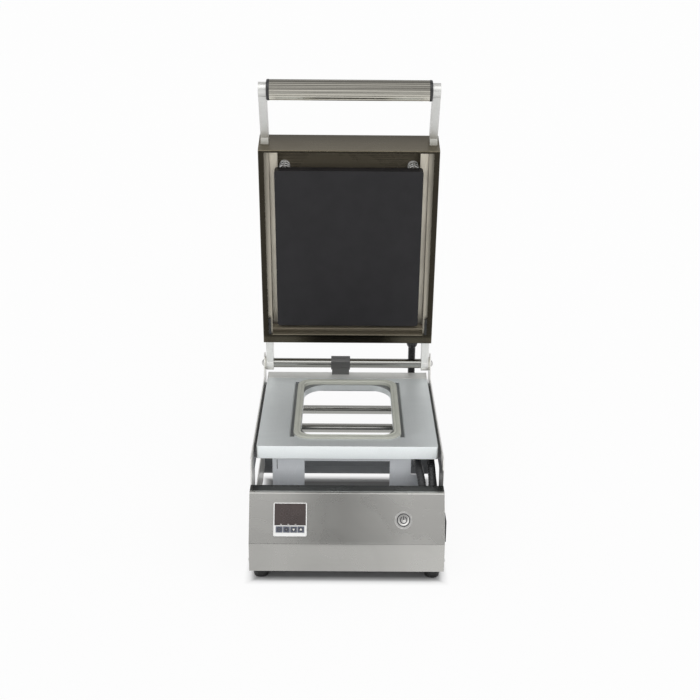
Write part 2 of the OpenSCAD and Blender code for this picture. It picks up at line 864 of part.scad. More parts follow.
// Pivot bolts through the ear bushes into the ends of the shaft
module pivot_bolts() {
    color("silver") for (sx = [-1, 1]) translate([0, hinge_y, hinge_z]) mirror([sx < 0 ? 1 : 0, 0, 0]) {
        tube_x(arm_out, half_w + slide_gap - arm_out, pivot_d / 2);
        tube_x(arm_out - 13, 13, pivot_d / 2 - 0.6);
        translate([half_w + slide_gap, 0, 0]) rotate([0, 90, 0]) dome_head(head_r, 4.5);
    }
}

// Fluted handle tube between its end caps
cap_w = 4.5;
cap_round = 2;
cap_out = handle_d / 2 + 0.4;
tube_wall = 3.5;
flutes = 18;
flute_r = 2.6;
flute_deep = 0.7;

module at_handle() {
    on_lid() translate([0, -handle_reach, handle_up]) children();
}

module handle_tube() {
    len = 2 * (arm_in - cap_w - 0.2);
    color("#8a867c") at_handle() translate([-len / 2, 0, 0]) rotate([0, 90, 0]) linear_extrude(len)
        difference() {
            circle(handle_d / 2);
            circle(handle_d / 2 - tube_wall);
            for (i = [0 : flutes - 1])
                rotate(i * 360 / flutes) translate([handle_d / 2 + flute_r - flute_deep, 0])
                    circle(flute_r);
        }
}

module handle_caps() {
    color("#151515") at_handle() for (sx = [-1, 1]) mirror([sx < 0 ? 1 : 0, 0, 0]) difference() {
        union() {
            translate([arm_in - cap_w - 0.1, 0, 0]) rotate([0, 90, 0]) rotate_extrude() {
                square([cap_out - cap_round, cap_w]);
                square([cap_out, cap_w - cap_round]);
                translate([cap_out - cap_round, cap_w - cap_round]) circle(cap_round);
            }
            tube_x(arm_in - cap_w - 8, 8, handle_d / 2 - tube_wall - 0.1);
        }
        tube_x(arm_in - 20, 30, rod_r + run_gap);
    }
}

module handle_rod() {
    color("silver") at_handle() tube_x(-arm_out + 0.5, 2 * arm_out - 1, rod_r);
}

// Insulation under the roof of the lid
module insulation_pad() {
    color("#8c8878") on_lid() translate([-84, -heater_back - heater_len + 34, roof_in - 22])
        cube([168, heater_len - 68, 22]);
}

module lid_gland() {
    color("#1a1a1a") on_lid() translate([gland_x, -lid_back, gland_z]) rotate([-90, 0, 0]) gland_shape(24);
}

// Flexible conduit between the two glands: one smooth curve through hand-set points
conduit_rings = 22;
conduit_pull = 22;
lid_end = [hinge_y + (-(lid_back - 22)) * cos(lid_open) + gland_z * sin(lid_open),
           hinge_z + (lid_back - 22) * sin(lid_open) + gland_z * cos(lid_open)];
base_end = [y_at(bracket_reach), bracket_z + 18];

// Point of the conduit's centre line at t from 0 (lid) to 1 (base)
function conduit_at(t) =
    let (a = lid_end, d = base_end,
         b = a + conduit_pull * [cos(lid_open), -sin(lid_open)],
         c = d + conduit_pull * [0, 1],
         s = 1 - t)
    [gland_x,
     s * s * s * a[0] + 3 * s * s * t * b[0] + 3 * s * t * t * c[0] + t * t * t * d[0],
     s * s * s * a[1] + 3 * s * s * t * b[1] + 3 * s * t * t * c[1] + t * t * t * d[1]];

module conduit() {
    r = conduit_d / 2 - 0.1;
    color("#141414") flexible_tube([for (i = [0 : conduit_rings]) conduit_at(i / conduit_rings)], r, r);
}

// Compression springs between heater and roof: a true helix with closed ends
turns = 6;

module heater_spring() {
    sides = 6;
    steps = 14;
    rings = turns * steps;
    r = spring_d / 2 - wire_d / 2;
    low = backing_top + wire_d / 2 + 0.1;
    high = roof_in - wire_d / 2 - 0.1;
    pts = [for (i = [0 : rings])
        let (u = i / rings,
             a = i * 360 / steps,
             z = low + (high - low) * u)
        for (k = [0 : sides - 1])
            let (rr = r + wire_d / 2 * cos(k * 360 / sides))
            [rr * cos(a), rr * sin(a), z + wire_d / 2 * sin(k * 360 / sides)]];
    skin = [for (i = [0 : rings - 1], k = [0 : sides - 1])
        let (m = (k + 1) % sides)
        [i * sides + k, i * sides + m, (i + 1) * sides + m, (i + 1) * sides + k]];
    caps = [[for (k = [sides - 1 : -1 : 0]) k], [for (k = [0 : sides - 1]) rings * sides + k]];
    polyhedron(points = pts, faces = concat(skin, caps));
}

module at_springs() {
    on_lid() for (sx = [-1, 1], a = spring_at) translate([sx * spring_x, -a, 0]) children();
}

module heater_springs() {
    color("silver") at_springs() heater_spring();
}

// Heater head: plate, release cover, backing sheet, cartridge heaters and guide bolts
element_x = [-75, -25, 25, 75];
element_r = 5;
bolt_r = 3;

module heater_block(z, t, inset) {
    translate([0, -heater_back - heater_len / 2, z]) linear_extrude(t)
        round_rect(heater_w - 2 * inset, heater_len - 2 * inset, 4);
}

module heater_plate() {
    color("#3a3a3c") on_lid() difference() {
        heater_block(heater_face + cover_t, heater_t, 0);
        for (x = element_x)
            translate([x, -heater_back + 1, heater_face + cover_t + heater_t / 2])
                rotate([90, 0, 0]) cylinder(r = element_r + run_gap, h = heater_len - 20);
    }
}

module release_cover() {
    color("#242426") on_lid() heater_block(heater_face, cover_t, 0);
}

module heater_backing() {
    color("gray") on_lid() difference() {
        union() {
            heater_block(heater_top, backing_t, 1.5);
            for (sx = [-1, 1], a = spring_at)
                translate([sx * spring_x, -a, backing_top]) difference() {
                    cylinder(r = spring_d / 2 + cup_gap + cup_wall, h = cup_h);
                    translate([0, 0, -1]) cylinder(r = spring_d / 2 + cup_gap, h = cup_h + 2);
                }
        }
        for (sx = [-1, 1], a = spring_at)
            translate([sx * spring_x, -a, heater_top - 1])
                cylinder(r = bolt_r + run_gap, h = backing_t + 2);
    }
}

module heating_elements() {
    color("silver") on_lid() for (x = element_x)
        translate([x, -heater_back - 1, heater_face + cover_t + heater_t / 2])
            rotate([90, 0, 0]) cylinder(r = element_r, h = heater_len - 26);
}

module heater_bolts() {
    color("silver") at_springs() {
        translate([0, 0, heater_top]) cylinder(r = bolt_r, h = roof_z + slide_gap - heater_top);
        translate([0, 0, roof_z + slide_gap]) dome_head(6, 4);
    }
}

// Die: plate with skirts, pocket for the rim, side grooves and the tray opening
module opening_2d(g, r) {
    round_rect(open_w + 2 * g, open_len + 2 * g, r);
}

module at_opening(z) {
    translate([0, y_at(opening_mid), z]) children();
}

skirt = 8;
plate_low = 13.5;
pocket = 3;
groove_w = 5.5;

module die_plate() {
    color("#a3abad") difference() {
        translate([0, y_at(die_back + die_len / 2), die_z - die_t]) linear_extrude(die_t)
            round_rect(die_w, die_len, 3);
        translate([-die_w / 2 + skirt, y_at(die_back + die_len - skirt), die_z - die_t - 1])
            cube([die_w - 2 * skirt, die_len - 2 * skirt, die_t - plate_low + 1]);
        at_opening(die_z - die_t) linear_extrude(die_t + 1) opening_2d(0, open_r);
        at_opening(die_z - pocket) linear_extrude(pocket + 1) opening_2d(rim_w, rim_w + 13);
        at_opening(die_z - pocket) for (sx = [-1, 1])
            translate([sx * (open_w / 2 + rim_w + groove_w / 2 - 1) - groove_w / 2 - 1,
                       -open_len / 2 - 4, 0])
                cube([groove_w + 2, open_len + 8, pocket + 1]);
    }
}

module die_rim() {
    color("#d6d8cc") at_opening(die_z - pocket) linear_extrude(pocket + rim_h) difference() {
        opening_2d(rim_w - 0.1, rim_w + 12.9);
        opening_2d(0, 18);
    }
}

side_plate_left();
side_plate_right();
front_panel();
control_box_pan();
front_cross_member();
rear_cross_member();
rear_foot_brackets();
die_support();
die_runners();
die_guide_strips();
rear_bridge();
centre_bearing_block();
hinge_bushes();
rubber_feet();
foot_screws();
frame_screws();
controller_bezel();
controller_case();
controller_window();
controller_key_1();
controller_key_2();
controller_key_3();
controller_key_4();
button_body();
button_light_ring();
button_cap();
button_nut();
power_inlet();
inlet_pins();
fuse_drawer();
power_relay();
terminal_block();
conduit_bracket();
base_gland();
cable_run();
roller_axles();
film_roller_front();
film_roller_rear();
lid_housing();
lid_rear_channel();
lid_side_rails();
arm_left();
arm_right();
arm_clamps();
hinge_shaft();
pivot_bolts();
handle_tube();
handle_caps();
handle_rod();
insulation_pad();
lid_gland();
conduit();
heater_springs();
heater_plate();
release_cover();
heater_backing();
heating_elements();
heater_bolts();
die_plate();
die_rim();
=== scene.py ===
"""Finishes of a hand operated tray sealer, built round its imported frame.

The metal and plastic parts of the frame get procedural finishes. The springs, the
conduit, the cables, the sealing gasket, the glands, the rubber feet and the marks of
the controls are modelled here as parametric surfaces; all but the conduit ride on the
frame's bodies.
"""
import json
import math
from functools import reduce

import bpy
import numpy as np
from bpy.props import FloatProperty, FloatVectorProperty, IntProperty, PointerProperty
from mathutils import Matrix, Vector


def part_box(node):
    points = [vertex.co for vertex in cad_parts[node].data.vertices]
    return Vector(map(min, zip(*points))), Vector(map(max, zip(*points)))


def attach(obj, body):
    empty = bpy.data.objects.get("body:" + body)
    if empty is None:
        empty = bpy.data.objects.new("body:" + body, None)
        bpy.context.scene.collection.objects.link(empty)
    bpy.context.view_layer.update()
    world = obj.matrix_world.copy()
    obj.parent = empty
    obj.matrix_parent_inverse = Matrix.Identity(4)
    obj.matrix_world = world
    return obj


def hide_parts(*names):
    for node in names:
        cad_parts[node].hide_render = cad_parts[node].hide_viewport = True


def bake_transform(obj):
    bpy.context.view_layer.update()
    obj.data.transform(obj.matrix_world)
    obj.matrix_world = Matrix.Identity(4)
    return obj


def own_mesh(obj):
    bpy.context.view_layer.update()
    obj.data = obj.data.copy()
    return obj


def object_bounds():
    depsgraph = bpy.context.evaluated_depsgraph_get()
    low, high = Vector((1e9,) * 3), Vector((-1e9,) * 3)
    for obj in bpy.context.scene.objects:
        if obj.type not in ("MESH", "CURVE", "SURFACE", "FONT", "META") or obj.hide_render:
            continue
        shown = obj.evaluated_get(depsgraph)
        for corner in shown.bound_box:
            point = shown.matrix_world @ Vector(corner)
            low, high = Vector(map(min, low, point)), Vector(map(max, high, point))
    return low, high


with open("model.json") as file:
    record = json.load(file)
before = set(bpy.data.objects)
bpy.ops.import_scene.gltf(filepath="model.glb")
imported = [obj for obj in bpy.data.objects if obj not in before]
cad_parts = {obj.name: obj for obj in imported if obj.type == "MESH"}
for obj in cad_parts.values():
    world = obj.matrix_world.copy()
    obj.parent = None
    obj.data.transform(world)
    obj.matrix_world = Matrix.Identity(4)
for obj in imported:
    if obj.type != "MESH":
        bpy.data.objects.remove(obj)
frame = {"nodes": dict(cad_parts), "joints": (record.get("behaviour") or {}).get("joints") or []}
FIRST_BOX = [list(corner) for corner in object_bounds()]

bl_info = {
    "name": "Tray sealer finishes",
    "version": (1, 0, 0),
    "blender": (4, 5, 0),
    "location": "View3D > Sidebar > Tray sealer",
    "description": "Materials and fine pieces of a hand operated tray sealer",
    "category": "Object",
}

MM = 0.001
TURN = 2 * math.pi
JOINTS = {joint["name"]: joint for joint in frame["joints"]}
HINGE = np.array(JOINTS["lid_hinge"]["pos_m"], float)
LID_OPEN = math.radians(max(JOINTS["lid_hinge"]["range_deg"]))
PANEL_INWARD = np.array(JOINTS["button_press"]["axis"], float)


# ---------------------------------------------------------------- places

# Height of the crease between the front panel's strip and its slope, the slope's length,
# and how far up the slope the middle of the controls is
CREASE, SLOPE = 62 * MM, 82 * MM
CONTROL_UP = 35.06 * MM
# Lid in its closed place: distances forward of the hinge, to the side and up from it
LID_REAR, LID_SIDE = 46 * MM, 140.5 * MM
LID_RIM, LID_ROOF = -13.5 * MM, 46.5 * MM
# The front wall leans by this much for each unit of height; its place at hinge height
LEAN = 5.5 / 60
LID_FRONT = 386 * MM - LEAN * LID_RIM


def on_lid(points):
    """Points of the closed lid (x, forward of the hinge, up), turned to the parked lid.

    With a the opening angle: y = hinge - reach cos a + up sin a,
    z = hinge + reach sin a + up cos a.
    """
    x, reach, up = np.moveaxis(np.asarray(points, float), -1, 0)
    c, s = math.cos(LID_OPEN), math.sin(LID_OPEN)
    return np.stack([x, HINGE[1] - reach * c + up * s, HINGE[2] + reach * s + up * c], -1)


def on_panel(points):
    """Points (x, u, v) of the sloping control panel: the crease in the middle, plus x
    sideways, u times the direction up the slope and v times the face's outward normal."""
    out = -PANEL_INWARD
    slope = np.array([0.0, out[2], -out[1]])
    crease = np.array([0.0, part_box("front_panel")[0][1], CREASE])
    points = np.asarray(points, float)
    return (crease + points[..., :1] * np.array([1.0, 0.0, 0.0])
            + points[..., 1:2] * slope + points[..., 2:3] * out)


def middle_x(node):
    """Sideways place of the middle of a frame part."""
    low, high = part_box(node)
    return (low[0] + high[0]) / 2


# ---------------------------------------------------------------- surfaces

def triangles(faces):
    """Corner triples of triangles, and of quads cut along one diagonal."""
    if faces.shape[1] == 3:
        return faces
    return np.concatenate([faces[:, [0, 1, 2]], faces[:, [0, 2, 3]]])


def outward(points, groups):
    """A closed skin with its faces turned outwards. Its signed volume is a sixth of the
    sum of a . (b x c) over all triangles, and the faces turn round if that is negative."""
    index = np.concatenate([triangles(faces) for faces in groups])
    a, b, c = (points[index[:, i]] for i in range(3))
    if np.einsum("ij,ij->i", a, np.cross(b, c)).sum() < 0:
        groups = [faces[:, ::-1] for faces in groups]
    return points, groups


def shell(rows, ring=False):
    """Closed skin of a grid of points that is closed round its second index.

    Point (i, j) joins (i + 1, j) and (i, j + 1). With ring, the last row joins the
    first; otherwise a fan round the mean point closes each end.
    """
    rows = np.asarray(rows, float)
    n, m = rows.shape[:2]
    index = np.arange(n * m).reshape(n, m)
    after = np.roll(index, -1, axis=1)
    if ring:
        quads = np.stack([index, after, np.roll(after, -1, 0), np.roll(index, -1, 0)], -1)
        return outward(rows.reshape(-1, 3), [quads.reshape(-1, 4)])
    quads = np.stack([index[:-1], after[:-1], after[1:], index[1:]], -1)
    first = np.stack([after[0], index[0], np.full(m, n * m)], -1)
    last = np.stack([index[-1], after[-1], np.full(m, n * m + 1)], -1)
    points = np.concatenate([rows.reshape(-1, 3), [rows[0].mean(0), rows[-1].mean(0)]])
    return outward(points, [quads.reshape(-1, 4), first, last])


def even_angles(count):
    """Angles that cut a full turn into equal parts."""
    return np.arange(count) * TURN / count


def rays(angle):
    """Unit vectors (cos v, sin v)."""
    return np.stack([np.cos(angle), np.sin(angle)], -1)


def tube(path, side, radius, sides):
    """Round tube: path(u) + r(u) (cos v e1 + sin v e2), with e1 from side, at right
    angles to the path, and e2 the cross product of the path's direction and e1."""
    path = np.asarray(path, float)
    ahead = np.gradient(path, axis=0)
    ahead /= np.linalg.norm(ahead, axis=1, keepdims=True)
    e1 = np.broadcast_to(np.asarray(side, float), path.shape)
    e1 = e1 - (e1 * ahead).sum(1, keepdims=True) * ahead
    e1 /= np.linalg.norm(e1, axis=1, keepdims=True)
    e2 = np.cross(ahead, e1)
    ray = rays(even_angles(sides))[None, :, :, None]
    r = np.broadcast_to(np.asarray(radius, float), len(path))[:, None, None]
    return shell(path[:, None] + r * (ray[:, :, 0] * e1[:, None] + ray[:, :, 1] * e2[:, None]))


def lathe(profile, sides, flutes=0, depth=0.0):
    """Turned shape about Z: (r cos v, r sin v, z) along the profile of (r, z) pairs.

    With flutes, r loses depth (1 - cos(flutes v)) / 2, where depth may differ along
    the profile.
    """
    angle = even_angles(sides)
    cut = np.broadcast_to(np.asarray(depth, float), len(profile))[:, None]
    r = profile[:, :1] - cut * (1 - np.cos(flutes * angle)[None]) / 2
    z = np.broadcast_to(profile[:, 1:], r.shape)
    return np.dstack([r[..., None] * rays(angle), z])


def rounded_loop(half_w, half_l, r, steps):
    """Rounded rectangle: each corner's centre plus r (cos v, sin v) over its quarter."""
    sign = np.array([[1, 1], [-1, 1], [-1, -1], [1, -1]])
    centre = sign * np.array([half_w - r, half_l - r])
    angle = even_angles(4)[:, None] + np.linspace(0, TURN / 4, steps)[None]
    return (centre[:, None] + r * rays(angle)).reshape(-1, 2)


def slab(outline, low, high):
    """Thin prism over a convex outline in X-Y, from low to high."""
    return np.stack([np.column_stack([outline, np.full(len(outline), z)])
                     for z in (low, high)])


def arc_band(start, end, radius, width, low, high):
    """Ring sector from low to high: (r cos v, r sin v, z) between two angles v, with r half
    the width inside and outside the radius."""
    ray = rays(np.linspace(start, end, 40))
    level = np.ones(len(ray))
    return np.stack([np.column_stack([ray * (radius + side * width / 2), level * z])
                     for side, z in ((-1, low), (1, low), (1, high), (-1, high))], 1)


def new_object(name, data):
    """Object of a mesh, a lamp or a camera, in the scene."""
    made = bpy.data.objects.new(name, data)
    bpy.context.scene.collection.objects.link(made)
    return made


def piece(name, shells, material, body=None, sharp=40):
    """One object at the origin from several skins, shaded smooth up to the sharp angle."""
    points, faces, base = [], [], 0
    for made, groups in shells:
        points.append(made)
        faces += [row for group in groups for row in (group + base).tolist()]
        base += len(made)
    mesh = bpy.data.meshes.new(name)
    mesh.from_pydata(np.concatenate(points).tolist(), [], faces)
    mesh.polygons.foreach_set("use_smooth", np.ones(len(mesh.polygons), bool))
    mesh.set_sharp_from_angle(angle=math.radians(sharp))
    mesh.materials.append(material)
    mesh.update()
    made = new_object(name, mesh)
    if body:
        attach(made, body)
    return made


# ---------------------------------------------------------------- node graphs

class Graph:
    """Adds nodes to a tree, where an input may be a value or another node's output."""

    def __init__(self, tree):
        self.tree = tree

    def feed(self, node, inputs):
        """Links or sets a node's inputs, given by name or place."""
        for key, value in inputs.items():
            if isinstance(value, bpy.types.NodeSocket):
                self.tree.links.new(value, node.inputs[key])
            else:
                node.inputs[key].default_value = value

    def add(self, kind, inputs=None, **settings):
        """New shader node of a kind, with its inputs and settings."""
        node = self.tree.nodes.new("ShaderNode" + kind)
        for key, value in settings.items():
            setattr(node, key, value)
        self.feed(node, inputs or {})
        return node

    def math(self, operation, *values):
        """Result of one Math node."""
        return self.add("Math", dict(enumerate(values)), operation=operation).outputs[0]

    def times(self, *values):
        """Product of the values."""
        return reduce(lambda a, b: self.math("MULTIPLY", a, b), values)

    def plus(self, *values):
        """Sum of the values."""
        return reduce(lambda a, b: self.math("ADD", a, b), values)

    def largest(self, *values):
        """Largest of the values."""
        return reduce(lambda a, b: self.math("MAXIMUM", a, b), values)

    def above(self, value, level):
        """1 where the value is above the level, else 0."""
        return self.math("GREATER_THAN", value, level)

    def rest(self, mask):
        """1 less the mask."""
        return self.math("SUBTRACT", 1.0, mask)

    def vector(self, operation, a, b):
        """Result of one Vector Math node on two vectors."""
        made = self.add("VectorMath", {0: a, 1: b}, operation=operation)
        return made.outputs["Value" if operation == "DOT_PRODUCT" else "Vector"]

    def shrink(self, vector, size):
        """The vector divided by a size."""
        share = self.math("DIVIDE", 1.0, size)
        return self.add("VectorMath", {0: vector, "Scale": share},
                        operation="SCALE").outputs["Vector"]

    def split(self, vector):
        """The X, Y and Z of a vector."""
        return self.add("SeparateXYZ", {0: vector}).outputs

    def remap(self, value, low, high, to_low=0.0, to_high=1.0):
        """The value taken from one range to another and kept inside it."""
        node = self.add("MapRange", {0: value, 1: low, 2: high, 3: to_low, 4: to_high})
        return node.outputs[0]

    def mix(self, factor, a, b):
        """Colour a where the factor is 0 and colour b where it is 1."""
        return self.add("Mix", {0: factor, 6: a, 7: b}, data_type="RGBA").outputs[2]

    def noise(self, vector, detail=2.0, roughness=0.5, distortion=0.0, scale=1.0):
        """Noise over a vector, mostly between 0.3 and 0.7."""
        return self.add("TexNoise", {
            "Vector": vector, "Scale": scale, "Detail": detail,
            "Roughness": roughness, "Distortion": distortion}).outputs["Fac"]

    def group(self, name, **inputs):
        """Outputs of a shared effect."""
        return self.add("Group", inputs, node_tree=bpy.data.node_groups[name]).outputs

    def here(self):
        """Object coordinates."""
        return self.add("TexCoord").outputs["Object"]


def empty_graph(owner):
    """Graph of a material or a world, without its first nodes."""
    owner.use_nodes = True
    owner.node_tree.nodes.clear()
    return Graph(owner.node_tree)


FLOAT, VECTOR = "NodeSocketFloat", "NodeSocketVector"


def effect(name, inputs, outputs):
    """Empty shader node group with named sockets: (graph, its inputs, its output node)."""
    tree = bpy.data.node_groups.new(name, "ShaderNodeTree")
    for label, kind, default in [("Vector", VECTOR, None)] + inputs:
        made = tree.interface.new_socket(name=label, in_out="INPUT", socket_type=kind)
        if default is not None:
            made.default_value = default
    for label, kind in outputs:
        tree.interface.new_socket(name=label, in_out="OUTPUT", socket_type=kind)
    graph = Graph(tree)
    return graph, tree.nodes.new("NodeGroupInput").outputs, tree.nodes.new("NodeGroupOutput")


def make_brushed_grain():
    """Fine lines along one axis: noise on coordinates stretched by lines per metre."""
    graph, given, leave = effect(
        "Brushed grain", [("Grain", VECTOR, (10.0, 3000.0, 3000.0))],
        [("Streaks", FLOAT), ("Bands", FLOAT)])
    fine = graph.vector("MULTIPLY", given["Vector"], given["Grain"])
    broad = graph.vector("MULTIPLY", fine, (0.14, 0.14, 0.14))
    wide = graph.vector("MULTIPLY", fine, (0.012, 0.012, 0.012))
    lines = graph.times(graph.noise(fine, detail=3.0, roughness=0.7), 0.6)
    streaks = graph.math("MULTIPLY_ADD", graph.noise(broad), 0.4, lines)
    graph.feed(leave, {"Streaks": graph.remap(streaks, 0.34, 0.66),
                       "Bands": graph.remap(graph.noise(wide), 0.35, 0.65)})


def make_painted_sheen():
    """Painted reflection: broad bright and dark bands across brushed sheet,
    (1 + cos(2 pi (v . d + phase))) / 2, where d is bands per metre, with noise added to the
    phase."""
    graph, given, leave = effect(
        "Painted sheen", [("Direction", VECTOR, (3.0, 0.0, 0.0)), ("Phase", FLOAT, 0.0)],
        [("Dark", FLOAT)])
    place = graph.vector("DOT_PRODUCT", given["Vector"], given["Direction"])
    uneven = graph.noise(graph.vector("MULTIPLY", given["Vector"], (14.0, 3.0, 3.0)), detail=1.0)
    drift = graph.math("MULTIPLY_ADD", uneven, 0.24, graph.plus(place, given["Phase"]))
    wave = graph.math("COSINE", graph.times(drift, TURN))
    graph.feed(leave, {"Dark": graph.remap(wave, -1.0, 1.0)})


def make_handling_marks():
    """Cloudy smears of a given size, and sparse specks of dust."""
    graph, given, leave = effect(
        "Handling marks", [("Size", FLOAT, 0.1)], [("Smears", FLOAT), ("Specks", FLOAT)])
    smears = graph.noise(graph.shrink(given["Vector"], given["Size"]), detail=4.0,
                         roughness=0.6, distortion=1.2)
    specks = graph.noise(given["Vector"], detail=1.0, scale=900.0)
    graph.feed(leave, {"Smears": graph.remap(smears, 0.44, 0.7),
                       "Specks": graph.remap(specks, 0.74, 0.8)})


def make_worn_edges():
    """Rounded edge normal, and a mask of the edges broken up by noise."""
    graph, given, leave = effect(
        "Worn edges", [("Radius", FLOAT, 0.6 * MM)], [("Mask", FLOAT), ("Normal", VECTOR)])
    rounded = graph.add("Bevel", {"Radius": given["Radius"]}, samples=4).outputs[0]
    flat = graph.add("NewGeometry").outputs["Normal"]
    edge = graph.remap(graph.vector("DOT_PRODUCT", rounded, flat), 0.995, 0.86)
    patches = graph.noise(given["Vector"], detail=3.0, scale=260.0)
    graph.feed(leave, {"Mask": graph.times(edge, graph.remap(patches, 0.32, 0.62, 0.35, 1.0)),
                       "Normal": rounded})


def make_fine_scratches():
    """Short thin lines in two directions: peaks of noise stretched along each."""
    graph, given, leave = effect("Fine scratches", [("Amount", FLOAT, 0.5)], [("Lines", FLOAT)])
    lines = []
    for turn in (0.35, -0.6):
        turned = graph.add("VectorRotate",
                           {"Vector": given["Vector"], "Axis": (0.3, 0.2, 0.93), "Angle": turn},
                           rotation_type="AXIS_ANGLE").outputs[0]
        long = graph.vector("MULTIPLY", turned, (45.0, 1900.0, 60.0))
        lines.append(graph.remap(graph.noise(long, detail=0.0), 0.74, 0.8))
    graph.feed(leave, {"Lines": graph.times(graph.largest(*lines), given["Amount"])})


def make_moulded_grain():
    """Spark-eroded texture of moulded parts: cells and noise of a given size."""
    graph, given, leave = effect(
        "Moulded grain", [("Size", FLOAT, 0.5 * MM)], [("Height", FLOAT), ("Mottle", FLOAT)])
    scaled = graph.shrink(given["Vector"], given["Size"])
    cells = graph.add("TexVoronoi", {"Vector": scaled, "Scale": 1.0},
                      feature="SMOOTH_F1").outputs["Distance"]
    mottle = graph.noise(given["Vector"], detail=3.0, scale=35.0)
    graph.feed(leave, {"Height": graph.plus(graph.times(cells, 0.6), graph.noise(scaled)),
                       "Mottle": graph.remap(mottle, 0.35, 0.65)})


EFFECTS = (make_brushed_grain, make_painted_sheen, make_handling_marks, make_worn_edges,
           make_fine_scratches, make_moulded_grain)


# ---------------------------------------------------------------- finishes

def shade(colour, factor):
    """A colour with its three channels multiplied, at most white."""
    return tuple(min(1.0, channel * factor) for channel in colour[:3]) + (1.0,)


def grey(value):
    """Colour with equal channels."""
    return (value, value, value, 1.0)


def start_material(name):
    """Material with an empty graph, its Object coordinates and its surface shader."""
    material = bpy.data.materials.new(name)
    graph = empty_graph(material)
    shader = graph.add("BsdfPrincipled")
    graph.add("OutputMaterial", {"Surface": shader.outputs[0]})
    return material, graph, graph.here(), shader


def layered(graph, base, colour, layers):
    """A base with layers over it: each a mask, its strength and a shade of the colour."""
    for mask, strength, factor in layers:
        base = graph.mix(graph.times(mask, strength), base, shade(colour, factor))
    return base


def raised(graph, height, strength, depth_mm, normal):
    """Normal of a fine relief on top of the rounded edges."""
    return graph.add("Bump", {"Height": height, "Strength": strength,
                              "Distance": depth_mm * MM, "Normal": normal}).outputs[0]


# Sizes of the smears on metal, plastic and glass, in metres
METAL_SMEARS, PLASTIC_SMEARS, GLASS_SMEARS = 0.09, 0.05, 0.012
# Shades of bands, smears, scratches and dust, as factors of the colour under them
BAND_SHADE, SMEAR_SHADE, SCRATCH_SHADE, DUST_SHADE = 0.72, 0.7, 1.5, 2.2
# How much of scratches and of dust shows, and how much rougher a smear makes a surface
SCRATCH_SHOW, DUST_SHOW, SMEAR_ROUGH = 0.5, 0.3, 0.12


def brushed_metal(name, colour, grain, roughness, metallic=1.0, contrast=0.1, bands=0.0,
                  smears=0.15, scratches=0.3, wear=0.35, radius=0.6, relief=0.02, edge=1.7,
                  uneven=0.08, tone=None):
    """Ground or brushed metal: streaks along the grain, smears, scratches, bright edges.

    A tone function takes the graph and the coordinates and gives a factor for the colour,
    which paints light and shade by place on the part, and the share of metal.
    """
    material, graph, here, shader = start_material(name)
    brushed = graph.group("Brushed grain", Vector=here, Grain=grain)
    marks = graph.group("Handling marks", Vector=here, Size=METAL_SMEARS)
    edges = graph.group("Worn edges", Vector=here, Radius=radius * MM)
    lines = graph.group("Fine scratches", Vector=here, Amount=scratches)["Lines"]
    base = graph.mix(brushed["Streaks"], shade(colour, 1 - contrast), shade(colour, 1 + contrast))
    layers = [(brushed["Bands"], bands, BAND_SHADE)] if bands else []
    base = layered(graph, base, colour, layers + [
        (marks["Smears"], smears, SMEAR_SHADE), (lines, SCRATCH_SHOW, SCRATCH_SHADE),
        (edges["Mask"], wear, edge)])
    if tone:
        factor, metallic = tone(graph, here, metallic)
        base = graph.vector("MULTIPLY", base, factor)
    rough = graph.math("MULTIPLY_ADD", brushed["Streaks"], uneven, roughness - uneven / 2)
    height = graph.math("SUBTRACT", brushed["Streaks"], lines)
    graph.feed(shader, {
        "Base Color": base, "Metallic": metallic,
        "Roughness": graph.math("MULTIPLY_ADD", marks["Smears"], SMEAR_ROUGH, rough),
        "Normal": raised(graph, height, 0.35, relief, edges["Normal"])})
    return material


def moulded(name, colour, roughness, size=0.5, relief=0.03, wear=0.25, specular=0.5, smears=0.2,
            edge=1.8, mottle=0.1, radius=0.5, tone=None):
    """Plastic, rubber or powder-like coat: moulded grain, faint mottle, polished edges.

    A tone function takes the graph and the coordinates and gives a factor for the colour,
    which paints shade by place on the part.
    """
    material, graph, here, shader = start_material(name)
    grain = graph.group("Moulded grain", Vector=here, Size=size * MM)
    marks = graph.group("Handling marks", Vector=here, Size=PLASTIC_SMEARS)
    edges = graph.group("Worn edges", Vector=here, Radius=radius * MM)
    base = graph.mix(grain["Mottle"], shade(colour, 1 - mottle), shade(colour, 1 + mottle))
    base = layered(graph, base, colour, [
        (marks["Specks"], DUST_SHOW, DUST_SHADE), (edges["Mask"], wear, edge)])
    if tone:
        base = graph.vector("MULTIPLY", base, tone(graph, here))
    graph.feed(shader, {
        "Base Color": base, "Metallic": 0.0, "Specular IOR Level": specular,
        "Roughness": graph.math("MULTIPLY_ADD", marks["Smears"], -smears, roughness),
        "Normal": raised(graph, grain["Height"], 0.5, relief, edges["Normal"])})
    return material


def inlay(name, colour, roughness=0.4, size=0.2):
    """Print or inlaid plastic, with no worn edges."""
    return moulded(name, colour, roughness, size=size, wear=0.0)


def display_glass(name, colour):
    """Smoked window of the controller: clear coat over a dark mottled ground."""
    material, graph, here, shader = start_material(name)
    marks = graph.group("Handling marks", Vector=here, Size=GLASS_SMEARS)
    grain = graph.group("Moulded grain", Vector=here, Size=2 * MM)
    graph.feed(shader, {
        "Base Color": graph.mix(grain["Mottle"], shade(colour, 0.9), shade(colour, 1.12)),
        "Roughness": graph.math("MULTIPLY_ADD", marks["Smears"], SMEAR_ROUGH, 0.16),
        "Coat Weight": 0.4, "Coat Roughness": 0.08, "Specular IOR Level": 0.4})
    return material


# Lines per metre along X, Y and Z: few along the grain, many across it
ALONG_X = (9.0, 4200.0, 4200.0)
ALONG_Y = (4200.0, 9.0, 4200.0)
ALONG_Z = (4200.0, 4200.0, 9.0)
TURNED = (5000.0, 30.0, 30.0)
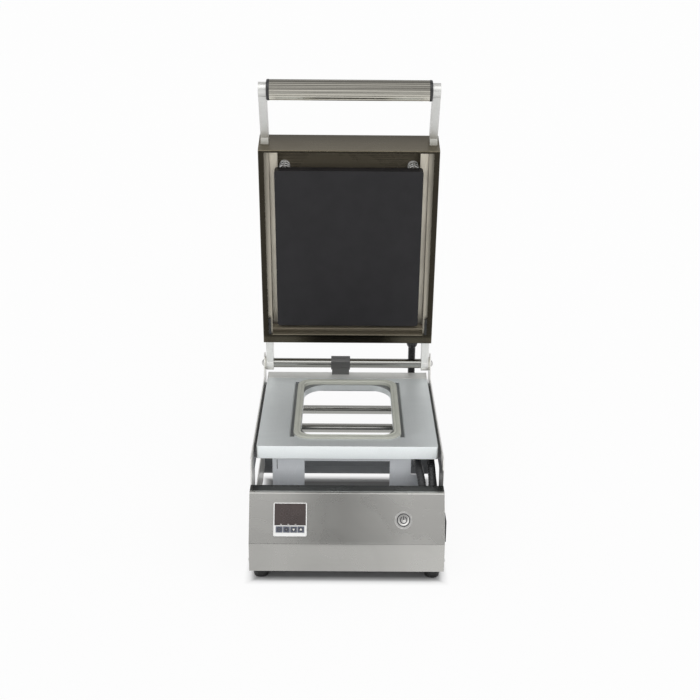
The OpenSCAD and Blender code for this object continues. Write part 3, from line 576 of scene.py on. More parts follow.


# ---------------------------------------------------------------- painted light and shade by place

def panel_painted_light(graph, here, metallic):
    """Front sheet: painted reflection bands, darkest left of the middle and most on the slope,
    painted light rising from left to right, and painted shade on the top flange.
    """
    dark = graph.group("Painted sheen", Vector=here, Direction=(3.9, 0.0, 0.0), Phase=-0.1)["Dark"]
    place = graph.split(here)
    # Depth of the painted reflection on the strip and on the slope; the top flange's painted
    # shade
    on_strip, on_slope, flange_shade = 0.1, 0.42, 0.11
    # Painted light across the sheet, darker at the left and lighter at the right, and half its
    # width
    left_shade, right_light, half_w = 0.9, 1.12, 140 * MM
    fade, flange_depth, bend_reach = 4 * MM, 3 * MM, 1.3 * MM
    depth = graph.remap(place["Z"], CREASE - fade, CREASE + fade, on_strip, on_slope)
    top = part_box("front_panel")[1][2]
    bend = on_panel((0.0, SLOPE, 0.0))[1] + bend_reach
    flange = graph.times(graph.above(place["Z"], top - flange_depth),
                         graph.above(place["Y"], bend))
    across = graph.remap(place["X"], -half_w, half_w, left_shade, right_light)
    return graph.times(graph.rest(graph.times(dark, depth)), across,
                       graph.remap(flange, 0.0, 1.0, 1.0, flange_shade)), metallic


def side_painted_light(graph, here, metallic):
    """Side plates: inner faces painted paler and less metallic as painted light, and the right
    plate's inner face in painted shade low down.
    """
    skin, shade_height = 0.3 * MM, 150 * MM
    # Painted light on the inner faces, painted shade low on the right one, and their share of
    # metal
    inner_light, right_shade, inner_metal = 1.7, 0.3, 0.25
    place = graph.split(here)
    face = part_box("side_plate_right")[1][0] - skin
    inside = graph.above(face, graph.math("ABSOLUTE", place["X"]))
    shaded_low = graph.times(graph.above(place["X"], 0.0), graph.above(shade_height, place["Z"]))
    pale = graph.remap(inside, 0.0, 1.0, 1.0, inner_light)
    return (graph.remap(graph.times(inside, shaded_low), 0.0, 1.0, pale, right_shade),
            graph.remap(inside, 0.0, 1.0, metallic, inner_metal))


def in_lid(graph, here):
    """Reach from the hinge along the leaning front, reach along the lid, up and side.

    With a the opening angle, reach = (z - hz) sin a - (y - hy) cos a and
    up = (y - hy) sin a + (z - hz) cos a; leaning reach = reach - lean up.
    """
    c, s = math.cos(LID_OPEN), math.sin(LID_OPEN)
    local = graph.vector("SUBTRACT", here, (0.0, HINGE[1], HINGE[2]))
    lean = graph.vector("DOT_PRODUCT", local, (0.0, -c - LEAN * s, s - LEAN * c))
    reach = graph.vector("DOT_PRODUCT", local, (0.0, -c, s))
    up = graph.vector("DOT_PRODUCT", local, (0.0, s, c))
    return lean, reach, up, graph.math("ABSOLUTE", graph.split(local)["X"])


def lid_painted_light(graph, here, metallic):
    """Lid: painted light over the dark rim steel, lighter on the outer faces towards their foot,
    paler and less metallic inside, lighter on the rim towards the rear, and a painted
    highlight on the front fold.
    """
    lean, reach, up, side = in_lid(graph, here)
    skin, fold, fade_from, fade_to = 0.4 * MM, 1.7 * MM, 14 * MM, 10 * MM
    # Painted light on the outer faces at roof and foot, inside and on the rear rim; the front
    # fold's painted highlight
    roof_light, foot_light, inner_light, rear_light, bend_highlight = 1.5, 4.6, 4.5, 1.3, 8.0
    inner_metal = 0.45
    front = graph.above(lean, LID_FRONT - skin)
    outer = graph.largest(graph.largest(front, graph.above(LID_REAR + skin, reach)),
                          graph.largest(graph.above(up, LID_ROOF - skin),
                                        graph.above(side, LID_SIDE - skin)))
    body = graph.above(up, LID_RIM + fold)
    rim = graph.rest(body)
    inner = graph.times(body, graph.rest(outer))
    rear = graph.remap(reach, LID_REAR + fade_from, LID_REAR + fade_to, 0.0, rear_light)
    # Painted light and highlight of the lid, over the rim's own dark steel
    lift = graph.plus(
        graph.times(outer, graph.largest(body, front),
                    graph.remap(up, LID_ROOF, LID_RIM, roof_light, foot_light)),
        graph.times(inner, inner_light), graph.times(rear, rim),
        graph.times(front, rim, bend_highlight), 1.0)
    return lift, graph.remap(inner, 0.0, 1.0, metallic, inner_metal)


def arm_painted_shade(graph, here, metallic):
    """Arms: painted shade, warmer, inside the lid and just in front of it, and painted light
    behind it.
    """
    # Painted shade inside the lid and where the arms enter it, and painted light behind the lid
    shaded, entering_shade = (0.63, 0.585, 0.5, 1.0), (0.72, 0.71, 0.66, 1.0)
    ahead, behind = grey(0.93), grey(1.12)
    fade_from, fade_to = 24 * MM, 4 * MM
    lean, reach, up = in_lid(graph, here)[:3]
    inside = graph.times(graph.above(reach, LID_REAR), graph.above(LID_FRONT, lean),
                         graph.above(LID_ROOF, up))
    entry = graph.remap(reach, LID_FRONT + fade_from, LID_FRONT + fade_to)
    outside = graph.mix(entry, ahead, entering_shade)
    outside = graph.mix(graph.above(LID_REAR, reach), outside, behind)
    return graph.mix(inside, outside, shaded), metallic


def grip_painted_light(graph, here, metallic):
    """Handle: painted reflection, darker on top and paler towards the underside, by the square
    of the way down.
    """
    # Painted reflection: dark on the top, bright on the underside
    top_shade, under_light = 0.45, 2.05
    low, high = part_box("handle_tube")
    down = graph.math("POWER", graph.remap(graph.split(here)["Z"], high[2], low[2]), 2.0)
    return graph.remap(down, 0.0, 1.0, top_shade, under_light), metallic


def die_painted_light(graph, here, metallic):
    """Die: painted shade in the pocket and the grooves round the gasket, and painted light on
    the front face.
    """
    low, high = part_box("die_rim")
    top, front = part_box("die_plate")[1][2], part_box("die_plate")[0][1]
    beside, beyond, skin, floor = 4.5 * MM, 6 * MM, 0.5 * MM, 4 * MM
    # Painted shade in the pocket and grooves, and painted light on the front face
    pocket_shade, front_light = 0.3, 1.25
    place = graph.split(here)
    along = graph.math("SUBTRACT", place["Y"], (low[1] + high[1]) / 2)
    pocket = graph.times(
        graph.above((high[0] - low[0]) / 2 + beside, graph.math("ABSOLUTE", place["X"])),
        graph.above((high[1] - low[1]) / 2 + beyond, graph.math("ABSOLUTE", along)),
        graph.times(graph.above(top - skin, place["Z"]), graph.above(place["Z"], top - floor)))
    behind = graph.above(place["Y"], front + skin)
    return graph.times(graph.remap(pocket, 0.0, 1.0, 1.0, pocket_shade),
                       graph.remap(behind, 0.0, 1.0, front_light, 1.0)), metallic


def gasket_painted_shade(graph, here):
    """Painted shade: darker in the groove and down the sides than on the crowns."""
    # Painted shade in the groove and down the sides, and a little on the crowns
    groove_shade, crown_shade, skin, fade = 0.72, 0.95, 0.1 * MM, 1 * MM
    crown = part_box("die_rim")[1][2] - skin
    return graph.remap(graph.split(here)["Z"], crown - fade, crown, groove_shade, crown_shade)


def colours():
    """The colour settings of this scene."""
    return bpy.context.scene.sealer_colours


def dress(material, *nodes):
    """Puts a material in every material slot of these frame parts."""
    for name in nodes:
        for held in frame["nodes"][name].material_slots:
            held.material = material


# ---------------------------------------------------------------- settings

def length(name, description, default):
    """Setting of a length in metres."""
    return FloatProperty(name=name, description=description, default=default, min=0.0, max=1.0,
                         unit="LENGTH", subtype="DISTANCE")


def tint(name, description, default):
    """Setting of an opaque colour."""
    return FloatVectorProperty(name=name, description=description, default=default + (1.0,),
                               size=4, min=0.0, max=1.0, subtype="COLOR")


class SealerSizes(bpy.types.PropertyGroup):
    """Sizes of the modelled pieces."""

    spring_d: length("Spring diameter", "Outside diameter of the heater springs", 0.018)
    spring_wire: length("Spring wire", "Wire diameter of the heater springs", 0.0018)
    spring_turns: IntProperty(name="Spring turns", description="Turns of each heater spring",
                              default=6, min=3, max=14)
    conduit_d: length("Conduit diameter", "Outside diameter of the flexible conduit", 0.0124)
    conduit_pitch: length("Conduit pitch", "Distance between two ribs of the conduit", 0.0027)
    rib_depth: length("Rib depth", "Depth of the grooves between the conduit's ribs", 0.0011)
    cable_d: length("Cable diameter", "Outside diameter of a sleeved cable", 0.012)
    tail_d: length("Tail diameter", "Diameter of a cable's core where it enters a nut", 0.006)
    foot_tread: length("Foot tread", "Depth of the ring grooves in the rubber feet", 0.0006)
    digit_h: length("Digit height", "Height of the digits in the controller window", 0.0095)


class SealerColours(bpy.types.PropertyGroup):
    """Colours of the finishes."""

    sheet: tint("Sheet steel", "Brushed stainless sheet of the base", (0.47, 0.465, 0.445))
    hood: tint("Lid steel", "Dark stainless sheet on the lid's rim", (0.0385, 0.0338, 0.025))
    inner: tint("Inner steel", "Plated sheet inside the base", (0.63, 0.65, 0.675))
    bright: tint("Bright steel", "Ground springs, bolts and screws", (0.6, 0.595, 0.58))
    roller: tint("Roller steel", "Polished shaft and film rollers", (0.36, 0.36, 0.34))
    cast: tint("Die metal", "Milled aluminium of the die", (0.73, 0.765, 0.77))
    arms: tint("Arm metal", "Brushed aluminium of the arms", (0.74, 0.74, 0.72))
    rails: tint("Rail metal", "Pale bronze anodised rails beside the heater", (0.8, 0.745, 0.635))
    grip: tint("Grip metal", "Anodised aluminium of the fluted grip", (0.42, 0.405, 0.36))
    block: tint("Bearing block", "Dark anodised centre bearing", (0.11, 0.11, 0.108))
    heater: tint("Heater metal", "Edge of the coated heater plate", (0.022, 0.021, 0.022))
    coat: tint("Release coat", "Non-stick face of the heater", (0.0185, 0.018, 0.0195))
    black: tint("Black plastic", "Moulded black plastic", (0.018, 0.018, 0.019))
    rubber: tint("Rubber", "Rubber of the feet", (0.014, 0.014, 0.014))
    gasket: tint("Gasket", "Cream silicone of the sealing gasket", (0.5, 0.51, 0.45))
    bezel: tint("Bezel", "Pale frame of the controller", (0.66, 0.66, 0.65))
    window: tint("Window", "Smoked window of the controller", (0.045, 0.033, 0.031))
    keys: tint("Keys", "Dark keys of the controller", (0.085, 0.095, 0.13))
    nylon: tint("Nylon", "Bushes, strips and terminal blocks", (0.7, 0.69, 0.63))


# ---------------------------------------------------------------- stage

# Place and attitude of the camera, in metres and radians
CAMERA_PLACE = (-0.00493, -1.83867, 0.94442)
CAMERA_PITCH, CAMERA_YAW, CAMERA_ROLL = 0.3582, 0.0047, 0.008
CAMERA_LENS = 63.44


def make_camera():
    """Camera from three angles: level, pitch down, then roll about its own axis."""
    level = np.array([math.sin(CAMERA_YAW), math.cos(CAMERA_YAW), 0.0])
    right = np.array([math.cos(CAMERA_YAW), -math.sin(CAMERA_YAW), 0.0])
    plumb = np.array([0.0, 0.0, 1.0])
    ahead = math.cos(CAMERA_PITCH) * level - math.sin(CAMERA_PITCH) * plumb
    up = math.sin(CAMERA_PITCH) * level + math.cos(CAMERA_PITCH) * plumb
    c, s = math.cos(CAMERA_ROLL), math.sin(CAMERA_ROLL)
    turned = Matrix(np.column_stack([c * right + s * up, c * up - s * right, -ahead]).tolist())
    data = bpy.data.cameras.new("camera")
    data.lens, data.sensor_width, data.sensor_fit = CAMERA_LENS, 36.0, "HORIZONTAL"
    data.clip_start, data.clip_end = 0.05, 200.0
    made = new_object("camera", data)
    made.matrix_world = Matrix.Translation(CAMERA_PLACE) @ turned.to_4x4()
    bpy.context.scene.camera = made


def make_lamp(name, strength, spread_deg, elevation_deg, azimuth_deg, mirrored=True):
    """Soft sun from an azimuth (0 is in front, 90 from the right) and an elevation, which
    polished metal mirrors or not."""
    data = bpy.data.lights.new(name, "SUN")
    data.energy, data.angle = strength, math.radians(spread_deg)
    made = new_object(name, data)
    made.rotation_euler = (math.radians(90 - elevation_deg), 0.0, math.radians(azimuth_deg))
    made.visible_glossy = mirrored


def seen_rays(graph, *kinds):
    """1 for rays of these kinds, else 0."""
    path = graph.add("LightPath").outputs
    return graph.largest(*[path[kind] for kind in kinds])


# What polished metal mirrors, by degrees from the front horizon over the top to the rear
SURROUND = ((0, 0.45), (18, 0.4), (32, 0.62), (55, 0.95), (75, 0.9), (90, 0.3), (145, 0.18),
            (168, 0.5), (180, 1.0))


def make_world(low, high, beside):
    """White surround. The camera sees plain white; reflections see the ramp above, and the
    value beside towards either side; everything else is lit by a fade from low to high."""
    world = bpy.data.worlds.new("studio")
    graph = empty_graph(world)
    x, y, z = graph.split(graph.add("TexCoord").outputs["Generated"])
    turn = graph.math("ARCTAN2", z, graph.times(y, -1.0))
    ramp = graph.add("ValToRGB", {0: graph.math("DIVIDE", turn, math.pi)})
    marks = ramp.color_ramp.elements
    while len(marks) < len(SURROUND):
        marks.new(1.0)
    for mark, (angle, value) in zip(marks, SURROUND):
        mark.position, mark.color = angle / 180, grey(value)
    aside = graph.remap(graph.math("ABSOLUTE", x), 0.4, 0.9)
    mirrored = graph.mix(aside, ramp.outputs[0], grey(beside))
    fade = graph.remap(z, 0.0, 0.9, low, high)
    plain = graph.add("CombineColor", {0: fade, 1: fade, 2: fade}).outputs[0]
    even = graph.mix(seen_rays(graph, "Is Glossy Ray", "Is Transmission Ray"), plain, mirrored)
    colour = graph.mix(seen_rays(graph, "Is Camera Ray"), even, grey(1.0))
    back = graph.add("Background", {"Color": colour, "Strength": 1.0})
    graph.add("OutputWorld", {"Surface": back.outputs[0]})
    bpy.context.scene.world = world


def make_floor(lift, dark, pale):
    """White floor that keeps the shadow under the base, and away from the base is lifted
    towards white where it is seen. Its grey is dark under the base as a painted shadow,
    and pale outside."""
    shadow_back, soft_in, soft_out, fade_in = 60 * MM, -6 * MM, 8 * MM, -16 * MM
    half = 40.0
    material = bpy.data.materials.new("pale floor")
    graph = empty_graph(material)
    place = graph.split(graph.here())
    sideways = graph.math("SUBTRACT", graph.math("ABSOLUTE", place["X"]),
                          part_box("front_panel")[1][0])
    ahead = graph.math("SUBTRACT", FIRST_BOX[0][1], place["Y"])
    beyond = graph.largest(sideways, ahead, graph.math("SUBTRACT", place["Y"], shadow_back))
    plain = graph.add("BsdfDiffuse", {
        "Color": graph.mix(graph.remap(beyond, fade_in, 0.0), grey(dark), grey(pale))})
    white = graph.add("Emission", {"Color": grey(1.0), "Strength": 1.0})
    share = graph.times(seen_rays(graph, "Is Camera Ray", "Is Glossy Ray", "Is Transmission Ray"),
                        graph.remap(beyond, soft_in, soft_out, 0.0, lift))
    blend = graph.add("MixShader", {0: share, 1: plain.outputs[0], 2: white.outputs[0]})
    graph.add("OutputMaterial", {"Surface": blend.outputs[0]})
    mesh = bpy.data.meshes.new("floor")
    mesh.from_pydata([(-half, -half, 0), (half, -half, 0), (half, half, 0), (-half, half, 0)],
                     [], [(0, 1, 2, 3)])
    mesh.materials.append(material)
    made = new_object("floor", mesh)


class SEALER_OT_stage(bpy.types.Operator):
    """Makes the camera, the soft lamps, the white surround and the floor"""

    bl_idname = "sealer.stage"
    bl_label = "Stage"

    def execute(self, context):
        make_camera()
        make_world(low=0.8, high=0.3, beside=0.8)
        # dark is the floor's grey under the base, a painted shadow
        make_floor(lift=0.9, dark=0.2, pale=0.93)
        make_lamp("key", 0.75, 60, 55, -30)
        make_lamp("side", 0.4, 60, 40, 62)
        make_lamp("front", 1.7, 50, 10, 8, mirrored=False)
        make_lamp("rear", 0.35, 60, 50, 170)
        context.scene.view_settings.view_transform = "Standard"
        return {"FINISHED"}


# ---------------------------------------------------------------- finishing operators

class SEALER_OT_effects(bpy.types.Operator):
    """Builds the shared node groups of the finishes"""

    bl_idname = "sealer.effects"
    bl_label = "Shared effects"

    def execute(self, context):
        for make in EFFECTS:
            make()
        return {"FINISHED"}


class SEALER_OT_base_sheet(bpy.types.Operator):
    """Finishes the side plates, the front panel and the sheet parts inside the base"""

    bl_idname = "sealer.base_sheet"
    bl_label = "Base sheet metal"

    def execute(self, context):
        tone = colours()
        dress(brushed_metal("front steel", tone.sheet, ALONG_X, 0.26, contrast=0.012, bands=0.05,
                            smears=0.06, scratches=0.04, wear=0.9, relief=0.0005, edge=2.4,
                            uneven=0.02, tone=panel_painted_light), "front_panel")
        dress(brushed_metal("side steel", tone.sheet, ALONG_Y, 0.3, metallic=0.7, contrast=0.05,
                            bands=0.15, smears=0.1, relief=0.008, tone=side_painted_light),
              "side_plate_left", "side_plate_right")
        dress(brushed_metal("inner sheet", tone.inner, ALONG_X, 0.45, metallic=0.3, contrast=0.04,
                            wear=0.2, relief=0.01), "die_support", "control_box_pan")
        # The members, runners and brackets take the inner sheet's colour at 0.46, a copy in
        # painted shade
        dress(brushed_metal("shaded member sheet", shade(tone.inner, 0.46), ALONG_X, 0.45, metallic=0.5,
                            contrast=0.05, wear=0.2), "front_cross_member", "rear_cross_member",
              "die_runners", "conduit_bracket", "rear_foot_brackets")
        dress(brushed_metal("bridge metal", tone.arms, ALONG_X, 0.42, metallic=0.5,
                            contrast=0.05), "rear_bridge")
        return {"FINISHED"}


class SEALER_OT_lid(bpy.types.Operator):
    """Finishes the lid housing, its channel and the insulation under its roof"""

    bl_idname = "sealer.lid"
    bl_label = "Lid housing"

    def execute(self, context):
        tone = colours()
        # The lid's worn edges are real wear, brightened five times as a painted highlight along
        # its folds
        dress(brushed_metal("lid steel", tone.hood, ALONG_X, 0.27, bands=0.25, smears=0.06,
                            wear=0.9, edge=5.0, tone=lid_painted_light), "lid_housing")
        dress(brushed_metal("channel steel", shade(tone.hood, 5.0), ALONG_X, 0.3, metallic=0.4,
                            contrast=0.08, wear=1.0), "lid_rear_channel")
        dress(moulded("clamp coat", tone.black, 0.45), "arm_clamps")
        dress(moulded("mineral board", (0.3, 0.28, 0.23), 0.9, size=1.2, relief=0.2),
              "insulation_pad")
        return {"FINISHED"}


# Polished round bars and rollers
POLISHED = {"smears": 0.05, "wear": 0.1, "relief": 0.001}


class SEALER_OT_arms(bpy.types.Operator):
    """Finishes the arms, the shaft, the fluted grip and the bearing block"""

    bl_idname = "sealer.arms"
    bl_label = "Arms, shaft and grip"

    def execute(self, context):
        tone = colours()
        dress(brushed_metal("arm metal", tone.arms, ALONG_Z, 0.36, metallic=0.7, contrast=0.06,
                            tone=arm_painted_shade), "arm_left", "arm_right")
        dress(brushed_metal("rail metal", tone.rails, ALONG_Z, 0.42, metallic=0.6, contrast=0.06),
              "lid_side_rails")
        dress(brushed_metal("ground shaft", tone.roller, TURNED, 0.15, contrast=0.03,
                            scratches=0.05, **POLISHED), "hinge_shaft", "handle_rod")
        dress(brushed_metal("bolt steel", tone.bright, TURNED, 0.25, contrast=0.05),
              "pivot_bolts")
        dress(brushed_metal("grip metal", tone.grip, ALONG_X, 0.09, contrast=0.04, radius=0.15,
                            scratches=0.05, tone=grip_painted_light, **POLISHED), "handle_tube")
        dress(moulded("grip cap", tone.black, 0.32, size=0.4), "handle_caps")
        dress(brushed_metal("block metal", tone.block, ALONG_X, 0.42, metallic=0.6, wear=0.5),
              "centre_bearing_block")
        return {"FINISHED"}


class SEALER_OT_heater(bpy.types.Operator):
    """Finishes the heater plate, its release cover, the backing sheet and the bolts"""

    bl_idname = "sealer.heater"
    bl_label = "Heater head"

    def execute(self, context):
        tone = colours()
        dress(moulded("heater coat", tone.heater, 0.5, size=0.8, relief=0.02, specular=0.2,
                      wear=0.35, edge=3.0), "heater_plate")
        dress(moulded("release coat", tone.coat, 0.52, relief=0.015, specular=0.18,
                      smears=0.1, wear=0.3, edge=3.0, mottle=0.06), "release_cover")
        dress(brushed_metal("backing sheet", tone.inner, ALONG_X, 0.42, contrast=0.06),
              "heater_backing")
        dress(brushed_metal("element sheath", tone.bright, ALONG_Z, 0.4, smears=0.5),
              "heating_elements", "heater_bolts")
        return {"FINISHED"}


class SEALER_OT_die(bpy.types.Operator):
    """Finishes the sliding die and its guides"""

    bl_idname = "sealer.die"
    bl_label = "Sliding die"

    def execute(self, context):
        dress(brushed_metal("die metal", colours().cast, ALONG_Y, 0.36, metallic=0.5,
                            contrast=0.03, smears=0.12, scratches=0.2, wear=0.4, radius=0.8,
                            tone=die_painted_light), "die_plate")
        dress(moulded("guide plastic", (0.09, 0.09, 0.092), 0.5), "die_guide_strips")
        return {"FINISHED"}


class SEALER_OT_rollers(bpy.types.Operator):
    """Finishes the film rollers, their axles and the small screws"""

    bl_idname = "sealer.rollers"
    bl_label = "Rollers and screws"

    def execute(self, context):
        tone = colours()
        dress(brushed_metal("roller steel", tone.roller, TURNED, 0.15, contrast=0.03,
                            scratches=0.0, **POLISHED), "film_roller_front", "film_roller_rear")
        dress(brushed_metal("screw steel", tone.bright, (2500.0,) * 3, 0.28, contrast=0.08,
                            wear=0.3, radius=0.2), "roller_axles", "frame_screws", "foot_screws")
        return {"FINISHED"}


class SEALER_OT_controls(bpy.types.Operator):
    """Finishes the controller, the power button, the inlet and the parts in the box"""

    bl_idname = "sealer.controls"
    bl_label = "Controls and inlet"

    def execute(self, context):
        tone = colours()
        dress(moulded("bezel plastic", tone.bezel, 0.36, size=0.25, relief=0.01, edge=1.15,
                      mottle=0.03), "controller_bezel")
        dress(display_glass("smoked window", tone.window), "controller_window")
        dress(moulded("key plastic", tone.keys, 0.45, size=0.25, relief=0.012),
              *["controller_key_%d" % i for i in range(1, 5)])
        dress(moulded("black plastic", tone.black, 0.38, size=0.4),
              "controller_case", "power_inlet", "fuse_drawer", "power_relay")
        dress(brushed_metal("button steel", tone.bright, (1500.0,) * 3, 0.22, contrast=0.06,
                            radius=0.25), "button_body", "button_cap", "button_nut", "inlet_pins")
        dress(moulded("ring plastic", (0.04, 0.042, 0.045), 0.3, size=0.3), "button_light_ring")
        dress(moulded("nylon", tone.nylon, 0.4, size=0.6, edge=1.1), "hinge_bushes",
              "terminal_block")
        return {"FINISHED"}


# ---------------------------------------------------------------- modelled pieces

# Springs in the closed lid: sideways, forward of the hinge, and from the plate to the roof
SPRING_X = 102.5 * MM
SPRING_ALONG = (92.5 * MM, 340.5 * MM)
SPRING_LOW, SPRING_HIGH = 5.2 * MM, 44.9 * MM
# Glands: sideways, then forward and up in the closed lid, and in the base
GLAND_X = 110 * MM
LID_GLAND = (46 * MM, 21 * MM)
BRACKET_Y, BRACKET_Z = 136 * MM, 130 * MM
# How far the conduit starts inside each gland, and how far it leaves straight
LID_MOUTH, BASE_MOUTH, CONDUIT_PULL = 21.5 * MM, 17.5 * MM, 22 * MM


def spring_path(turns, radius, wire, low, high):
    """Helix with closed ends: the height eases in and out over the end turns.

    x = r cos a, y = r sin a; z rises by one wire over each end turn and evenly between,
    and is then averaged over half a turn.
    """
    half, steps = 10, int(turns * 40)
    a = np.linspace(0, turns * TURN, steps + 1)
    z = low + np.interp(a / TURN, [0, 1, turns - 1, turns],
                        [0, wire, high - low - wire, high - low])
    padded = np.pad(z, half, mode="edge")
    z = np.convolve(padded, np.ones(2 * half + 1) / (2 * half + 1), "valid")
    return np.column_stack([radius * rays(a), z])


class SEALER_OT_springs(bpy.types.Operator):
    """Makes the four compression springs between the heater and the lid roof"""

    bl_idname = "sealer.springs"
    bl_label = "Heater springs"

    def execute(self, context):
        size = context.scene.sealer_sizes
        wire = size.spring_wire
        coil = spring_path(size.spring_turns, (size.spring_d - wire) / 2, wire,
                           SPRING_LOW + wire / 2, SPRING_HIGH - wire / 2)
        points, groups = tube(coil, coil * (1, 1, 0), wire / 2, sides=12)
        shells = [outward(on_lid(points * (1, -1, 1) + (side * SPRING_X, along, 0)), groups)
                  for side in (-1, 1) for along in SPRING_ALONG]
        # The springs take the bright steel at 1.6 times, a lit copy in painted light against the
        # dark inside of the lid
        steel = brushed_metal("lit spring steel", shade(colours().bright, 1.6), (900.0,) * 3, 0.3,
                              metallic=0.25, contrast=0.05, wear=0.0, radius=0.1)
        made = piece("springs", shells, steel, "lid")
        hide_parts("heater_springs")
        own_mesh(made)
        return {"FINISHED"}


def conduit_line(count):
    """Cubic curve between the two glands: (1-t)^3 a + 3(1-t)^2 t b + 3(1-t) t^2 c + t^3 d."""
    along = LID_GLAND[0] - LID_MOUTH
    start = on_lid((GLAND_X, along, LID_GLAND[1]))
    leave = on_lid((GLAND_X, along - CONDUIT_PULL, LID_GLAND[1]))
    end = np.array([GLAND_X, BRACKET_Y, BRACKET_Z + BASE_MOUTH])
    arrive = end + (0.0, 0.0, CONDUIT_PULL)
    t = np.linspace(0, 1, count)[:, None]
    return ((1 - t) ** 3 * start + 3 * (1 - t) ** 2 * t * leave
            + 3 * (1 - t) * t ** 2 * arrive + t ** 3 * end)


def arc_length(path):
    """Length so far at each point of a path."""
    return np.concatenate([[0], np.cumsum(np.linalg.norm(np.diff(path, axis=0), axis=1))])


def ribbed(path, diameter, pitch, depth):
    """Radius along a path: rounded ribs a pitch apart, r = R - depth s^2 with
    s = (1 + cos(2 pi l / pitch)) / 2, where l is the length so far."""
    dip = (1 + np.cos(arc_length(path) * TURN / pitch)) / 2
    return diameter / 2 - depth * dip ** 2


class SEALER_OT_conduit(bpy.types.Operator):
    """Makes the short corrugated conduit that bends between the base and the lid"""

    bl_idname = "sealer.conduit"
    bl_label = "Conduit"

    def execute(self, context):
        size = context.scene.sealer_sizes
        path = conduit_line(260)
        radius = ribbed(path, size.conduit_d, size.conduit_pitch, size.rib_depth)
        plastic = inlay("conduit plastic", colours().black, size=0.3)
        made = piece("conduit_hose", [tube(path, (1, 0, 0), radius, sides=28)], plastic)
        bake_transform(made)
        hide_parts("conduit")
        return {"FINISHED"}


# Points of the two cables in mm: x, forward of the hinge, up. The first and last only guide
OUTER_CABLE = np.array([
    [113, -16, 142], [113.1, -16, 126.4], [117, -15, 112], [122, 2, 104], [125, 60, 105],
    [125.5, 170, 116], [125.5, 250, 134], [125.5, 286, 137.5], [126, 316, 127],
    [125.2, 330, 118.5], [125, 338.5, 117], [121, 348, 112], [104, 359, 84], [95, 367, 54],
    [91, 372, 30], [90, 374, 20]])
INNER_CABLE = np.array([
    [107, -16, 142], [106.9, -16, 126.4], [103, -15, 112], [102, 2, 104], [104, 60, 105],
    [105, 170, 116], [105, 250, 133], [106, 286, 136.5], [109.5, 316, 127],
    [110.8, 330, 118.5], [111, 338.5, 117], [102, 350, 113], [70, 357, 103], [36, 362, 91],
    [15, 366, 82], [8.5, 367, 73], [7, 367.5, 65.4], [6.6, 368, 58]])
# Length of a cable's bare tail, and of the swelling that follows it
TAIL, SWELL = 9 * MM, 9 * MM
# Ribs of a cable's sleeve against the conduit's: their pitch and their depth
SLEEVE_PITCH, SLEEVE_DEPTH = 1.75, 0.5


def cable_line(given, steps=26):
    """Smooth line through points a, b, c, d in turn, drawn between b and c:
    b + (c - a) t / 2 + (2a - 5b + 4c - d) t^2 / 2 + (3b - a - 3c + d) t^3 / 2."""
    t = (np.arange(steps) / steps)[None, :, None]
    a, b, c, d = (given[i:len(given) - 3 + i, None] for i in range(4))
    line = b + (c - a) * t / 2 + (2 * a - 5 * b + 4 * c - d) * t ** 2 / 2
    line = line + (3 * b - a - 3 * c + d) * t ** 3 / 2
    line = np.concatenate([line.reshape(-1, 3), given[-2:-1]]) * MM
    return np.column_stack([line[:, 0], HINGE[1] - line[:, 1], line[:, 2]])


class SEALER_OT_wiring(bpy.types.Operator):
    """Makes the two sleeved cables from the lower gland forward into the control box"""

    bl_idname = "sealer.wiring"
    bl_label = "Cables"

    def execute(self, context):
        size = context.scene.sealer_sizes
        core = size.tail_d / 2
        shells = []
        for given in (OUTER_CABLE, INNER_CABLE):
            path = cable_line(given)
            sleeve = ribbed(path, size.cable_d, SLEEVE_PITCH * size.conduit_pitch,
                            SLEEVE_DEPTH * size.rib_depth)
            grow = np.clip((arc_length(path) - TAIL) / SWELL, 0, 1)
            radius = core + (sleeve - core) * grow * grow * (3 - 2 * grow)
            shells.append(tube(path, (1, 0, 0), radius, sides=24))
        plastic = inlay("cable sleeve", colours().black, 0.36, size=0.4)
        made = piece("cables", shells, plastic, "base")
        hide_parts("cable_run")
        return {"FINISHED"}


# Gland, in mm: where its hexagon ends, where its fluted dome starts, and its bore
GLAND_NUT, GLAND_DOME, GLAND_BORE = 6.05, 7.3, 6.35
# How far each gland reaches out of its wall, and its flutes and their depth, in mm
BASE_REACH, LID_REACH, FLUTES, FLUTE_DEPTH = 20, 24, 20, 0.5


def gland_profile(reach):
    """Half outline (r, z) of a cable gland: nut, hexagon flats, dome nut and mouth."""
    return np.array([
        [GLAND_BORE, -4], [7.7, -4], [7.9, -3.8], [7.9, 0], [10.3, 0], [10.5, 0.4], [10.5, 5.6],
        [10.3, 6], [9.2, 6.1], [9.2, 7], [9.7, 7.4], [9.7, reach - 9], [9.5, reach - 7],
        [8.9, reach - 4], [8.0, reach - 1.6], [7.2, reach - 0.3], [6.9, reach],
        [GLAND_BORE, reach], [GLAND_BORE, reach - 1]])


def gland_shell(reach, place):
    """Gland as a lathe with flats low down and fluting on the dome nut. Over each sixth
    of a turn a flat's radius is 0.9 / cos of the angle from its middle, at most 1."""
    sides, sixth = 120, TURN / 6
    profile = gland_profile(reach)
    r, z = profile.T
    fluted = (z > GLAND_DOME) & (z < reach - 3)
    rows = lathe(profile, sides, flutes=FLUTES,
                 depth=np.where(fluted, FLUTE_DEPTH, 0.0))
    flats = (z >= 0) & (z <= GLAND_NUT) & (r > 9)
    six = 0.9 / np.cos((even_angles(sides) + sixth / 2) % sixth - sixth / 2)
    rows[flats, :, :2] *= np.minimum(six, 1.0)[None, :, None]
    return shell(place(rows * MM), ring=True)


